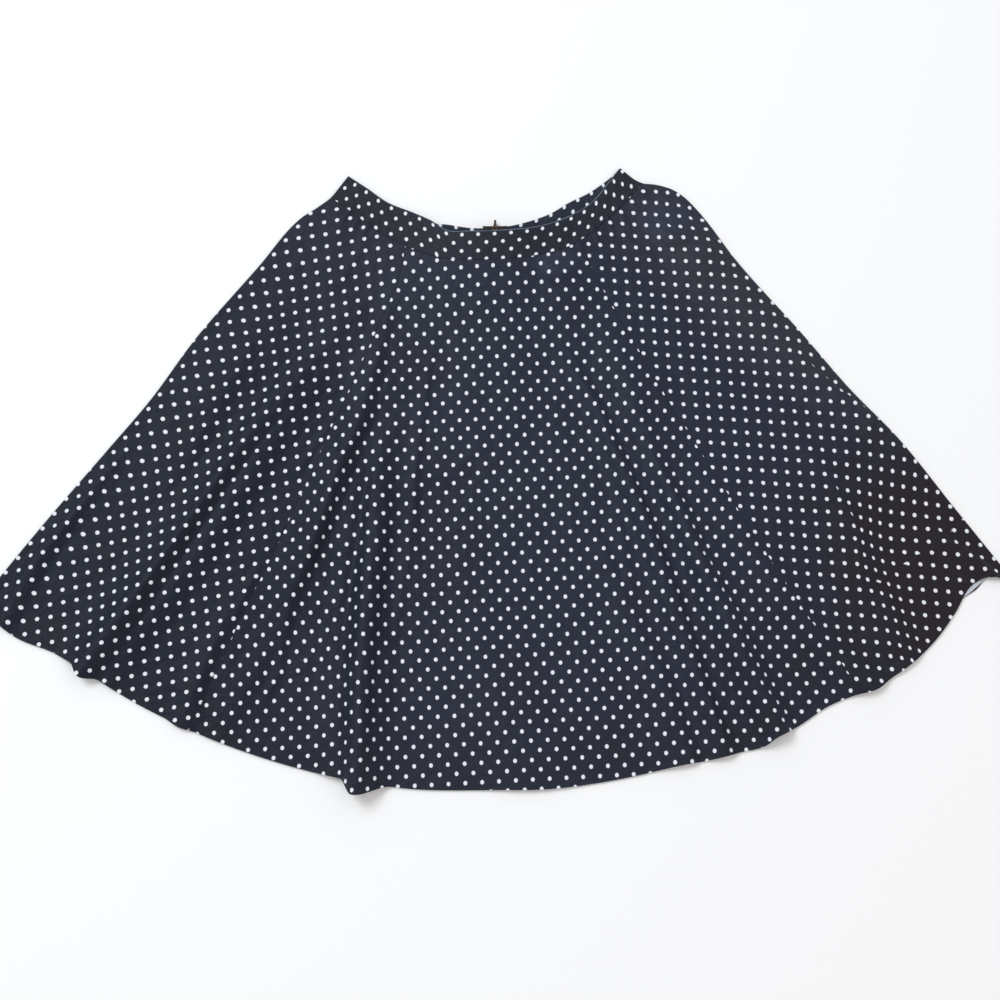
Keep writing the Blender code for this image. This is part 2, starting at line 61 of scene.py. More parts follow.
# %% Camera at the photo's angle
CAMERA_TARGET = (0.0042, -0.0366, 0.0)
CAMERA_DISTANCE = 1.75
CAMERA_ELEVATION = math.radians(78)
CAMERA_LENS = 55.26

camera_data = bpy.data.cameras.new("camera")
camera_data.lens = CAMERA_LENS
camera = bpy.data.objects.new("camera", camera_data)
bpy.context.collection.objects.link(camera)
camera.location = (
    CAMERA_TARGET[0],
    CAMERA_TARGET[1] - CAMERA_DISTANCE * math.cos(CAMERA_ELEVATION),
    CAMERA_TARGET[2] + CAMERA_DISTANCE * math.sin(CAMERA_ELEVATION),
)
camera.rotation_euler = (math.pi / 2 - CAMERA_ELEVATION, 0, 0)
bpy.context.scene.camera = camera
print("camera at", [round(v, 3) for v in camera.location])

# %% [markdown]
# ## The fan
#
# Each table below has one row for each place along a line, and `column` turns two of its columns
# into a smooth curve. The sizes are millimetres and degrees, the same driving sizes as the solids
# have, so the fine cloth made here lies exactly where the plain panels of the frame lie.

# %% The fan's sizes and edge lines
FLARE_CENTRE = (-3.2, 601.2)
CENTRE_BACK_ANGLE = 0.3
SOLID_CLOTH = 1.2
SOLID_BAND = 1.8
GAP = 0.3
EDGE_ROLL = 1.6
EDGE_CALM = 16.0
YOUNG_FLANK = 0.45
CORNER_ROUND = 12.0
BACK_INSET = 2.2
BACK_HEM_SHORTER = 3.0
BAND_STEP_START = 4.0
BAND_STEP = 20.0
DEGREE = math.radians(1)

RADIAL_LINES = [
    dict(radius=278, left=-35.5, left_seam=-17.6, right_seam=18.2, right=32.9),
    dict(radius=308, left=-35.5, left_seam=-17.6, right_seam=18.2, right=35.0),
    dict(radius=318, left=-35.5, left_seam=-17.6, right_seam=18.2, right=37.0),
    dict(radius=333, left=-35.6, left_seam=-17.6, right_seam=18.1, right=39.0),
    dict(radius=350, left=-36.4, left_seam=-17.4, right_seam=17.9, right=39.95),
    dict(radius=376, left=-37.7, left_seam=-16.7, right_seam=17.8, right=40.15),
    dict(radius=450, left=-37.8, left_seam=-17.3, right_seam=19.4, right=39.3),
    dict(radius=560, left=-37.95, left_seam=-18.4, right_seam=21.2, right=39.3),
    dict(radius=650, left=-37.35, left_seam=-19.0, right_seam=22.5, right=39.15),
    dict(radius=730, left=-37.4, left_seam=-19.5, right_seam=23.4, right=39.45),
    dict(radius=830, left=-37.5, left_seam=-20.1, right_seam=24.3, right=39.05),
    dict(radius=960, left=-37.4, left_seam=-20.5, right_seam=25.6, right=38.65),
]
BAND_EDGES = [
    dict(angle=-35.4, top=299, back_top=300.5, seam=333, back_seam=334.5),
    dict(angle=-30.0, top=300, back_top=301.5, seam=335.5, back_seam=337),
    dict(angle=-24.5, top=304.5, back_top=306, seam=341, back_seam=341.5),
    dict(angle=-18.0, top=306, back_top=308, seam=348.5, back_seam=343.5),
    dict(angle=-13.5, top=311, back_top=311, seam=352, back_seam=344.5),
    dict(angle=-10.0, top=319.5, back_top=309.5, seam=354, back_seam=344.5),
    dict(angle=-5.0, top=318, back_top=310, seam=353, back_seam=344),
    dict(angle=2.7, top=316, back_top=307.5, seam=351.5, back_seam=342),
    dict(angle=8.0, top=315, back_top=303.5, seam=349.5, back_seam=338),
    dict(angle=13.0, top=312, back_top=298.5, seam=347, back_seam=333.5),
    dict(angle=18.0, top=307, back_top=291, seam=340, back_seam=327),
    dict(angle=23.0, top=300, back_top=288, seam=330, back_seam=321.5),
    dict(angle=28.0, top=287.5, back_top=283.5, seam=321.5, back_seam=316.5),
    dict(angle=32.8, top=278, back_top=279, seam=312.5, back_seam=310.5),
    dict(angle=35.4, top=277, back_top=278, seam=307, back_seam=306.5),
]
HEM = [
    dict(angle=-37.4, radius=953),
    dict(angle=-34.0, radius=958),
    dict(angle=-31.0, radius=949),
    dict(angle=-24.0, radius=955),
    dict(angle=-17.0, radius=961),
    dict(angle=-6.0, radius=966),
    dict(angle=0.0, radius=963),
    dict(angle=3.5, radius=964),
    dict(angle=8.0, radius=961.5),
    dict(angle=12.0, radius=959),
    dict(angle=16.0, radius=961.5),
    dict(angle=20.5, radius=955.5),
    dict(angle=23.0, radius=947.5),
    dict(angle=25.7, radius=949),
    dict(angle=28.5, radius=949),
    dict(angle=31.5, radius=940),
    dict(angle=34.0, radius=926),
    dict(angle=36.0, radius=912.5),
    dict(angle=37.3, radius=914.5),
    dict(angle=38.6, radius=936),
]
HEM_MOUTHS = [
    dict(angle=-28.6, reach=8, left=1.1, right=1.2),
    dict(angle=-21.2, reach=2.5, left=1.2, right=1.2),
    dict(angle=-9.0, reach=15, left=1.0, right=2.4),
    dict(angle=18.0, reach=3.5, left=1.8, right=1.1),
    dict(angle=26.4, reach=4, left=1.6, right=1.6),
]
BACK_HEM_CORNER = dict(angle=36.3, half_angle=2.0, reach=10.0)
print("fan tables:", len(RADIAL_LINES), "radii,", len(BAND_EDGES), "band angles,", len(HEM), "hem angles")


# %% Smooth curves through the tables
def column(rows, key, name):
    """A smooth curve through two columns of a table: the values of name along those of key."""
    xs = np.array([row[key] for row in rows], float)
    ys = np.array([row[name] for row in rows], float)
    steps = np.diff(ys) / np.diff(xs)
    slopes = np.concatenate(([steps[0]], 0.5 * (steps[:-1] + steps[1:]), [steps[-1]]))

    def curve(x):
        x = np.clip(np.asarray(x, float), xs[0], xs[-1])
        i = np.clip(np.searchsorted(xs, x) - 1, 0, len(xs) - 2)
        width = xs[i + 1] - xs[i]
        t = (x - xs[i]) / width
        rise = ys[i + 1] - ys[i]
        start = slopes[i] * width
        end = slopes[i + 1] * width
        return ys[i] + t * start + t * t * (3 * rise - 2 * start - end) + t ** 3 * (start + end - 2 * rise)

    return curve


def bump(t):
    """One smooth hump, 1 at t = 0 and 0 from |t| = 1 on."""
    return np.cos(0.5 * math.pi * np.clip(np.abs(t), 0, 1)) ** 2


def ramp(t):
    """A smooth step from 0 to 1."""
    t = np.clip(t, 0, 1)
    return t * t * (3 - 2 * t)


left_edge = column(RADIAL_LINES, "radius", "left")
left_seam = column(RADIAL_LINES, "radius", "left_seam")
right_seam = column(RADIAL_LINES, "radius", "right_seam")
right_edge = column(RADIAL_LINES, "radius", "right")
band_top = column(BAND_EDGES, "angle", "top")
back_band_top = column(BAND_EDGES, "angle", "back_top")
band_seam = column(BAND_EDGES, "angle", "seam")
back_band_seam = column(BAND_EDGES, "angle", "back_seam")
hem_base = column(HEM, "angle", "radius")


def centre_back(radius):
    return CENTRE_BACK_ANGLE + 0 * radius


def hem_radius(angle):
    radius = hem_base(angle)
    for mouth in HEM_MOUTHS:
        off = angle - mouth["angle"]
        radius = radius + mouth["reach"] * bump(off / np.where(off < 0, mouth["left"], mouth["right"]))
    return radius


def back_hem_radius(angle):
    corner = BACK_HEM_CORNER
    extra = corner["reach"] * bump((angle - corner["angle"]) / corner["half_angle"])
    return hem_base(angle) - BACK_HEM_SHORTER + extra


def place(angle, radius, height):
    """A point of the fan, in millimetres."""
    x = FLARE_CENTRE[0] + radius * np.sin(angle * DEGREE)
    y = FLARE_CENTRE[1] - radius * np.cos(angle * DEGREE)
    return np.stack(np.broadcast_arrays(x, y, height), axis=-1)


print("hem radius at the middle:", round(float(hem_radius(0.0)), 1), "mm")

# %% [markdown]
# ## Folds, creases, laps and puckers
#
# Cotton laid on a table doesn't lie like paper: the flare has more cloth at the hem than the
# table has room for, so long folds run up from the hem and die out below the waist. Each is one
# row here, with a crest line and its own left and right flank. The first table holds the large
# folds of the solids, and the second the finer creases that only the cloth of the looks has.
# A row with a negative height eases a fold of the first table, where the cloth lies lower.
# A lap is where a fold has fallen over: some of the cloth is hidden, and the dots jump across it.

# %% Large folds
FOLDS = [
    dict(name="left gore fold", crest=((380, -18.6), (500, -23.4), (650, -26.5), (950, -28.6)),
         start=340, full=900, fade=1000, gone=1100, height=23, left=46, right=22),
    dict(name="seam fold", crest=((400, -17.0), (504, -15.9), (665, -16.4), (800, -17.0)),
         start=370, full=610, fade=680, gone=850, height=13, left=38, right=18),
    dict(name="seam ripple", crest=((700, -17.6), (817, -17.0), (911, -18.1), (960, -18.6)),
         start=680, full=860, fade=1000, gone=1100, height=9, left=30, right=18),
    dict(name="left gore ripple", crest=((780, -21.4), (867, -21.4), (950, -21.2)),
         start=740, full=900, fade=1000, gone=1100, height=8, left=24, right=13),
    dict(name="centre fold", crest=((560, -12.9), (700, -11.5), (840, -10.2), (980, -8.7)),
         start=500, full=930, fade=1000, gone=1100, height=30, left=26, right=42),
    dict(name="thin crease", crest=((450, -8.9), (600, -8.4), (720, -7.0), (800, -6.0)),
         start=430, full=560, fade=650, gone=780, height=2.5, left=16, right=9),
    dict(name="centre swell", crest=((600, -3.0), (780, -1.5), (960, 2.0)),
         start=520, full=960, fade=1000, gone=1100, height=5, left=60, right=80),
    dict(name="low ripple", crest=((690, 10.0), (790, 11.3), (870, 12.5), (950, 12.9)),
         start=640, full=900, fade=1000, gone=1100, height=8, left=46, right=15),
    dict(name="long ripple", crest=((430, 6.4), (515, 11.8), (612, 13.7), (723, 14.8), (950, 15.4)),
         start=410, full=640, fade=1000, gone=1100, height=9, left=26, right=13),
    dict(name="right fold", crest=((520, 17.2), (700, 17.9), (800, 18.4), (950, 19.2)),
         start=480, full=900, fade=1000, gone=1100, height=21, left=30, right=24),
    dict(name="right seam swell", crest=((620, 20.8), (720, 22.4), (880, 24.4), (950, 26.3)),
         start=560, full=880, fade=1000, gone=1100, height=10, left=32, right=32),
    dict(name="side tuck", crest=((560, 32.6), (700, 32.0), (820, 30.5), (950, 29.6)),
         start=540, full=820, fade=1000, gone=1100, height=9, left=44, right=20),
    dict(name="side roll", crest=((380, 36.4), (480, 36.9), (600, 37.2), (720, 37.4)),
         start=350, full=440, fade=560, gone=740, height=5, left=48, right=26),
    dict(name="right tip fold", crest=((790, 35.8), (850, 36.7), (930, 38.0)),
         start=780, full=900, fade=1000, gone=1100, height=9, left=22, right=13),
    dict(name="left tip fold", crest=((820, -36.3), (880, -36.0), (950, -35.2)),
         start=700, full=900, fade=1000, gone=1100, height=6, left=16, right=20),
]
SHORT_RISES = [
    dict(name="right hip", angle=35.2, radius=366, height=6.0, across=42, along=44),
    dict(name="belly", angle=11.4, radius=366, height=4.0, across=34, along=24),
    dict(name="left hip", angle=-31.5, radius=352, height=1.5, across=30, along=34),
    dict(name="left thigh", angle=-31.0, radius=560, height=2.5, across=60, along=130),
    dict(name="right thigh", angle=17.6, radius=525, height=4.0, across=46, along=110),
]
WAIST_ARCH = dict(height=10.5, half_angle=23.0, start=305.0, length=170.0)
ZIP_RISE = dict(height=2.6, half=17.0, shoulder=46.0, end=495.0, fade=90.0)
print("large folds:", len(FOLDS), "and short rises:", len(SHORT_RISES))

# %% Fine creases, laps and gathers
CREASES = [
    dict(name="left ridge",
         crest=((433, -22.9), (523, -25.4), (630, -26.9), (743, -27.3), (857, -28.3), (923, -28.8)),
         start=400, full=520, fade=1000, gone=1100, height=2.6, left=13, right=27),
    dict(name="shade left of it", crest=((540, -31.9), (616, -31.5), (668, -31.1), (720, -30.6)),
         start=500, full=590, fade=670, gone=780, height=2.2, left=78, right=22),
    dict(name="left side edge", crest=((690, -36.2), (740, -36.0), (780, -35.9), (840, -35.9)),
         start=690, full=760, fade=820, gone=900, height=1.6, left=9, right=16),
    dict(name="seam fold lip",
         crest=((495, -12.9), (561, -14.9), (614, -16.2), (675, -16.3), (747, -16.3), (784, -16.7)),
         start=480, full=580, fade=740, gone=800, height=2.2, left=15, right=9),
    dict(name="small line", crest=((560, -18.5), (587, -19.1), (641, -20.1)),
         start=550, full=585, fade=620, gone=660, height=1.0, left=10, right=6),
    dict(name="low seam lip", crest=((784, -16.7), (829, -16.3), (874, -16.0), (904, -16.3)),
         start=770, full=810, fade=880, gone=930, height=1.8, left=13, right=8),
    dict(name="seam ripple, eased", crest=((700, -17.6), (817, -17.0), (911, -18.1), (960, -18.6)),
         start=680, full=860, fade=1000, gone=1100, height=-4.5, left=30, right=18),
    dict(name="left gore fold, eased", crest=((380, -18.6), (500, -23.4), (650, -26.5), (950, -28.6)),
         start=340, full=800, fade=1000, gone=1100, height=-4.5, left=46, right=22),
    dict(name="left gore ripple, eased", crest=((780, -21.4), (867, -21.4), (950, -21.2)),
         start=740, full=900, fade=1000, gone=1100, height=-2.5, left=24, right=13),
    dict(name="left fold foot",
         crest=((450, -20.8), (523, -23.0), (630, -24.5), (743, -25.3), (857, -26.5), (923, -27.2)),
         start=400, full=620, fade=1000, gone=1100, height=4.4, left=19, right=32),
    dict(name="centre fold foot", crest=((640, -14.3), (700, -13.6), (840, -12.0), (960, -10.5)),
         start=560, full=900, fade=1000, gone=1100, height=6.5, left=26, right=26),
    dict(name="left hem line", crest=((764, -20.3), (814, -20.6), (863, -20.9), (899, -20.9), (937, -20.5)),
         start=740, full=810, fade=1000, gone=1100, height=2.0, left=14, right=8),
    dict(name="hair crease", crest=((870, -13.0), (929, -12.2), (960, -12.0)),
         start=860, full=900, fade=935, gone=965, height=0.8, left=8, right=4),
    dict(name="centre fold flank", crest=((637, -11.0), (717, -10.2), (809, -9.9), (875, -9.3), (940, -8.9)),
         start=600, full=720, fade=1000, gone=1100, height=4.2, left=20, right=12),
    dict(name="beside the flank",
         crest=((560, -8.6), (632, -8.3), (713, -7.8), (805, -8.0), (872, -7.8), (916, -8.1)),
         start=540, full=640, fade=820, gone=930, height=1.4, left=12, right=8),
    dict(name="slant", crest=((572, -0.4), (596, -3.6), (620, -6.8)),
         start=570, full=584, fade=606, gone=622, height=0.9, left=14, right=14),
    dict(name="middle nick", crest=((850, 0.2), (880, 0.9), (915, 1.4)),
         start=835, full=870, fade=890, gone=925, height=1.5, left=14, right=7),
    dict(name="low ripple lip",
         crest=((643, 12.3), (702, 12.1), (771, 11.8), (820, 12.6), (879, 13.1), (925, 13.4)),
         start=620, full=700, fade=1000, gone=1100, height=1.2, left=14, right=8),
    dict(name="faint line", crest=((640, 7.8), (690, 7.7), (740, 7.6)),
         start=630, full=670, fade=700, gone=750, height=0.8, left=12, right=7),
    dict(name="long ripple lip",
         crest=((443, 9.2), (483, 11.2), (535, 12.6), (585, 13.2), (623, 13.9), (672, 14.3),
                (721, 14.6), (779, 14.4), (828, 14.9), (875, 15.1), (954, 16.0)),
         start=430, full=520, fade=1000, gone=1100, height=2.2, left=16, right=10),
    dict(name="right fold shoulder",
         crest=((600, 17.2), (647, 17.6), (687, 18.3), (723, 18.3), (774, 18.7), (840, 19.9)),
         start=580, full=660, fade=800, gone=880, height=3.0, left=22, right=11),
    dict(name="right fold foot", crest=((799, 18.8), (844, 18.5), (893, 18.9), (919, 19.3), (950, 19.7)),
         start=790, full=850, fade=1000, gone=1100, height=1.8, left=16, right=9),
    dict(name="hip line",
         crest=((335, 29.6), (340, 30.8), (355, 32.6), (372, 33.7), (394, 35.2), (410, 36.0)),
         start=330, full=345, fade=385, gone=412, height=1.2, left=9, right=8),
    dict(name="side line", crest=((500, 32.7), (528, 33.2), (557, 34.2), (578, 34.9), (600, 37.0)),
         start=495, full=530, fade=585, gone=606, height=1.2, left=9, right=6),
    dict(name="side tuck, eased", crest=((560, 32.6), (700, 32.0), (820, 30.5), (950, 29.6)),
         start=540, full=820, fade=1000, gone=1100, height=-2.5, left=44, right=20),
    dict(name="left waist line", crest=((360, -24.6), (400, -25.4), (450, -26.2)),
         start=350, full=372, fade=395, gone=450, height=0.8, left=10, right=8),
    dict(name="right waist line", crest=((345, 25.6), (400, 28.0), (440, 29.2)),
         start=335, full=360, fade=385, gone=440, height=0.6, left=12, right=10),
]
FINE_RISES = [
    dict(name="hip puff", angle=34.5, radius=384, height=3.6, across=34, along=24),
    dict(name="below the hip", angle=35.0, radius=414, height=3.6, across=54, along=50),
    dict(name="belly puff", angle=11.6, radius=379, height=3.0, across=26, along=17),
    dict(name="below the belly", angle=12.6, radius=402, height=3.0, across=44, along=36),
    dict(name="right thigh", angle=18.4, radius=524, height=1.2, across=36, along=50),
]
LAPS = [
    dict(name="side lap", line=((530, 35.9), (566, 36.7), (605, 37.5), (640, 38.1), (690, 39.1)),
         start=530, full=650, end=700, hidden=7.0, spread=1.6, height=1.8, width=16.0),
    dict(name="side tuck", line=((680, 32.2), (716, 32.0), (770, 31.8), (811, 30.7), (845, 29.4)),
         start=690, full=760, end=850, hidden=3.0, spread=1.6, height=0.9, width=10.0),
    dict(name="ease beside the tuck", line=((720, 31.8), (770, 31.3), (815, 29.7), (867, 28.9), (940, 28.1)),
         start=720, full=830, end=1100, hidden=15.0, spread=54.0, height=0.0, width=1.0),
    dict(name="hip lap", line=((335, 29.8), (360, 32.6), (394, 35.2)),
         start=334, full=352, end=396, hidden=2.0, spread=1.6, height=0.5, width=8.0),
    dict(name="ease at the left edge", line=((340, -35.5), (450, -36.4), (600, -36.0), (950, -35.6)),
         start=330, full=430, end=1100, hidden=-4.5, spread=34.0, height=0.0, width=1.0),
]
GATHERS = [
    dict(angle=-30.6, length=30, height=1.5, half=5.0),
    dict(angle=-28.2, length=22, height=1.3, half=4.0),
    dict(angle=-25.9, length=34, height=1.4, half=5.5),
    dict(angle=-20.4, length=26, height=0.6, half=5.0),
    dict(angle=-14.2, length=20, height=0.5, half=5.0),
    dict(angle=-6.0, length=24, height=0.4, half=7.0),
    dict(angle=3.4, length=20, height=0.4, half=6.0),
    dict(angle=12.6, length=24, height=1.0, half=5.0),
    dict(angle=17.0, length=22, height=1.1, half=4.5),
    dict(angle=20.8, length=34, height=1.7, half=4.5),
    dict(angle=24.3, length=28, height=1.6, half=4.0),
    dict(angle=27.4, length=38, height=1.8, half=4.5),
    dict(angle=30.6, length=30, height=1.6, half=4.0),
]
GATHER_ABOVE_SEAM = 8.0
GATHER_GROWS = 6.0
RELAXED = 0.70
FINE_CALM = 4.0
SEAM_DIP = 0.2
SEAM_DIP_HALF = 4.0
print("fine creases:", len(CREASES), "laps:", len(LAPS), "gathers at the band:", len(GATHERS))


# %% Height of the front above the table
def line_through(points):
    """The angle of a crest at each radius, from its (radius, angle) places."""
    rows = [dict(radius=radius, angle=angle) for radius, angle in points]
    return column(rows, "radius", "angle")


for row in FOLDS + CREASES:
    row["line"] = line_through(row["crest"])
for row in LAPS:
    row["path"] = line_through(row["line"])


def long_folds(rows, angle, radius):
    """Height of all the folds of a table: each grows along its crest and fades out again."""
    height = np.zeros(np.broadcast(angle, radius).shape)
    for fold in rows:
        grown = ramp((radius - fold["start"]) / (fold["full"] - fold["start"]))
        left_over = 1 - ramp((radius - fold["fade"]) / (fold["gone"] - fold["fade"]))
        across = DEGREE * radius * (angle - fold["line"](radius))
        flank = np.where(across < 0, fold["left"], fold["right"]) * (YOUNG_FLANK + (1 - YOUNG_FLANK) * grown)
        height = height + fold["height"] * grown * left_over * bump(across / flank)
    return height


def from_sides(angle, radius):
    """Distance from the nearer side edge of the skirt."""
    from_left = DEGREE * radius * (angle - left_edge(radius))
    from_right = DEGREE * radius * (right_edge(radius) - angle)
    return np.minimum(from_left, from_right)


def short_rises(rows, angle, radius):
    height = np.zeros(np.broadcast(angle, radius).shape)
    for rise in rows:
        across = DEGREE * rise["radius"] * (angle - rise["angle"]) / rise["across"]
        height = height + rise["height"] * bump(np.hypot(across, (radius - rise["radius"]) / rise["along"]))
    return height


def large_form(angle, radius):
    """The height that the solids have, with the long folds a little relaxed."""
    height = RELAXED * long_folds(FOLDS, angle, radius) + short_rises(SHORT_RISES, angle, radius)
    calm = ramp((from_sides(angle, radius) - EDGE_ROLL) / EDGE_CALM)
    arch = bump(angle / WAIST_ARCH["half_angle"])
    arch = arch * (1 - ramp((radius - WAIST_ARCH["start"]) / WAIST_ARCH["length"]))
    from_zip = DEGREE * radius * np.abs(angle - CENTRE_BACK_ANGLE) - ZIP_RISE["half"]
    over_zip = 1 - ramp(from_zip / ZIP_RISE["shoulder"])
    over_zip = over_zip * (1 - ramp((radius - ZIP_RISE["end"]) / ZIP_RISE["fade"]))
    return height * calm + np.hypot(WAIST_ARCH["height"] * arch, ZIP_RISE["height"] * over_zip)


def fine_form(angle, radius):
    """What the cloth adds: creases, laps, gathers below the band and the dip of the gore seams."""
    height = long_folds(CREASES, angle, radius) + short_rises(FINE_RISES, angle, radius)
    for lap in LAPS:
        grown = ramp((radius - lap["start"]) / (lap["full"] - lap["start"])) * (radius < lap["end"])
        across = DEGREE * radius * (angle - lap["path"](radius))
        shape = np.where(across < 0, bump(across / lap["width"]), 1 - ramp(across / lap["spread"]))
        height = height + lap["height"] * grown * shape
    below_band = radius - band_seam(angle)
    for gather in GATHERS:
        across = DEGREE * radius * (angle - gather["angle"]) / gather["half"]
        along = np.clip(below_band / gather["length"], 0, 1)
        grown = ramp((below_band + GATHER_ABOVE_SEAM) / GATHER_GROWS)
        height = height + gather["height"] * bump(across) * (1 - ramp(along)) * grown
    calm = ramp((from_sides(angle, radius) - EDGE_ROLL) / FINE_CALM)
    under = ramp(below_band / SEAM_DIP_HALF)
    off_seam = np.minimum(np.abs(angle - left_seam(radius)), np.abs(angle - right_seam(radius)))
    to_seam = DEGREE * radius * off_seam
    return height * calm - SEAM_DIP * bump(to_seam / SEAM_DIP_HALF) * under


def underside(angle, radius):
    """Height of the front's lower face: over the back band, then a step down onto the gores."""
    past = ramp((radius - band_seam(angle) - BAND_STEP_START) / BAND_STEP)
    base = GAP + SOLID_BAND - past * (SOLID_BAND - SOLID_CLOTH)
    return base + large_form(angle, radius) + fine_form(angle, radius)


print("height at the crest of the centre fold:", round(float(underside(-9.1, 940.0)), 1), "mm")

# %% [markdown]
# ## Turning the fan into cloth
#
# A panel is a grid of angles and radii, lifted to the height above and given a thickness. Blender
# could thicken a sheet with a Solidify modifier, but here the wall is made directly, because a
# sewn edge is round: the thickness shrinks to almost nothing over the last fraction of a
# millimetre, so the edge catches a soft line of light instead of looking cut from card.

# %% Grids between two lines and two edges
GRID_PASSES = 12
CLOSE_ROWS = (0, 0.15, 0.35, 0.7, 1.4)
CLEAR_OF_CLOSE = 1.8
MIDDLE_RADIUS = 600.0
NORMAL_STEP = 0.5
CLOTH = 0.7
BAND = 1.6
EDGE_ROUND = 0.25
EDGE_LEFT = 0.55


def shifted(line, distance):
    """The same radial line, moved sideways by a distance."""
    return lambda radius: line(radius) + distance / (DEGREE * radius)


def beyond(edge, distance):
    """A cross edge moved towards the hem by a distance."""
    return lambda angle: edge(angle) + distance


def grid_between(sides, rows, low_line, high_line, inner, outer):
    """Angle and radius of each point of a grid between two side lines and two cross edges."""
    across, along = np.meshgrid(sides, rows, indexing="ij")
    angle = 0.5 * (low_line(MIDDLE_RADIUS) + high_line(MIDDLE_RADIUS)) * np.ones_like(across)
    for _ in range(GRID_PASSES):
        radius = inner(angle) + along * (outer(angle) - inner(angle))
        angle = low_line(radius) + across * (high_line(radius) - low_line(radius))
    return angle, radius


def with_close_ends(count, size):
    """Even places from 0 to 1, with more of them close to both ends, where the wall rounds off."""
    close = np.array(CLOSE_ROWS) / size
    clear = CLEAR_OF_CLOSE * close[-1]
    inside = np.linspace(0, 1, count)
    inside = inside[(inside > clear) & (inside < 1 - clear)]
    return np.concatenate([close, inside, 1 - close[::-1]])


def rounded_corner(hem, low_line=None, high_line=None):
    """The hem with its corner rounded off at each side line given."""
    def radius(angle):
        reach = hem(angle)
        round_off = np.zeros_like(reach)
        for line, sign in ((low_line, 1), (high_line, -1)):
            if line:
                inwards = DEGREE * reach * sign * (angle - line(reach))
                near = np.clip(inwards / CORNER_ROUND, 0, 1)
                round_off = np.maximum(round_off, CORNER_ROUND * (1 - np.sqrt(1 - (1 - near) ** 2)))
        return reach - round_off
    return radius


print("cloth", CLOTH, "mm thick and band", BAND, "mm thick")


# %% The surface, its normal and the rolled side edge
def wall_middle(angle, radius, solid):
    """Middle of the solid's wall at each point of the grid, and the normal there."""
    turn = NORMAL_STEP / (DEGREE * radius)
    side = place(angle + turn, radius, underside(angle + turn, radius))
    other = place(angle - turn, radius, underside(angle - turn, radius))
    down = place(angle, radius + NORMAL_STEP, underside(angle, radius + NORMAL_STEP))
    up = place(angle, radius - NORMAL_STEP, underside(angle, radius - NORMAL_STEP))
    normal = np.cross(side - other, up - down)
    normal /= np.linalg.norm(normal, axis=-1, keepdims=True)
    middle = place(angle, radius, 0.5 * solid + underside(angle, radius))
    return middle, normal


ROLL_TURNS = (15, 30, 45, 60, 75, 90)


def rolled_side(middle, normal, angle, sign):
    """Extra columns that take the cloth over a side edge and down past the back."""
    outward = sign * np.stack([np.cos(angle * DEGREE), np.sin(angle * DEGREE), 0 * angle], axis=-1)
    columns = []
    for turn in ROLL_TURNS:
        tilt = turn * DEGREE
        drop = np.zeros_like(middle)
        drop[..., 2] = EDGE_ROLL * (1 - math.cos(tilt))
        lean = normal * math.cos(tilt) + outward * math.sin(tilt)
        lean /= np.linalg.norm(lean, axis=-1, keepdims=True)
        columns.append((middle + outward * EDGE_ROLL * math.sin(tilt) - drop, lean))
    return columns


def edge_share(distance):
    """Share of the wall's thickness that is left near an edge that rounds off."""
    inside = np.clip(distance / EDGE_ROUND, 0, 1)
    return EDGE_LEFT + (1 - EDGE_LEFT) * np.sqrt(1 - (1 - inside) ** 2)


# %% [markdown]
# ## Dots that follow the cloth
#
# The dots are printed before the skirt is sewn. So the pattern needs the cloth's own flat
# coordinates, not the table's: on the slope of a fold, more cloth lies in the same width of table
# and the dots look squashed. `unrolled` measures the length of cloth along each row of the grid
# and hands it back as an angle, and a lap adds the cloth that it hides. Each gore then has one
# lattice, given as two steps from dot to dot. The centre gore is cut on the bias, so its steps run
# diagonally and have crept a little closer to the vertical where the cloth has stretched. The
# band was cut as a straight strip, so `along_strip` measures its dots along it from the centre back.

# %% The lattice of each panel
PRINTS = {
    "front_centre_gore": dict(step=13.96, turn=-46.0, next_step=14.08, next_turn=-128.6, dot=(15.7, -742.1)),
    "front_left_gore": dict(step=14.84, turn=10.4, next_step=14.33, next_turn=-82.7, dot=(-342.1, -609.0)),
    "front_right_gore": dict(step=14.21, turn=-3.8, next_step=14.55, next_turn=-87.6, dot=(334.3, -576.6)),
    "waistband_front": dict(step=14.0, turn=-46.2, next_step=14.0, next_turn=-133.8, dot=(-0.6, -4.9)),
    "waistband_back": dict(step=14.3, turn=-46.5, next_step=14.3, next_turn=-133.5, dot=(-8.0, -2.0)),
    "back_left_side_gore": dict(step=14.1, turn=6.0, next_step=14.1, next_turn=-84.0, dot=(-300.0, -600.0)),
    "back_centre_gore": dict(step=14.0, turn=-45.0, next_step=14.0, next_turn=-135.0, dot=(60.0, -640.0)),
    "back_right_side_gore": dict(step=14.1, turn=-4.0, next_step=14.1, next_turn=-94.0, dot=(320.0, -600.0)),
}

# A gore's top edge is stretched a little where it is eased into the band.
WAIST_EASE = dict(start=330.0, length=150.0)
WAIST_STRETCH = {
    "front_centre_gore": dict(down=4.5, across=0.028),
    "front_left_gore": dict(down=4.5, across=0.0),
}


def stretched(name, radius):
    """Share of the turn and extra radius that the print has near the band."""
    stretch = WAIST_STRETCH.get(name, dict(down=0.0, across=0.0))
    near = 1 - ramp((radius - WAIST_EASE["start"]) / WAIST_EASE["length"])
    return 1 - stretch["across"] * near, stretch["down"] * near


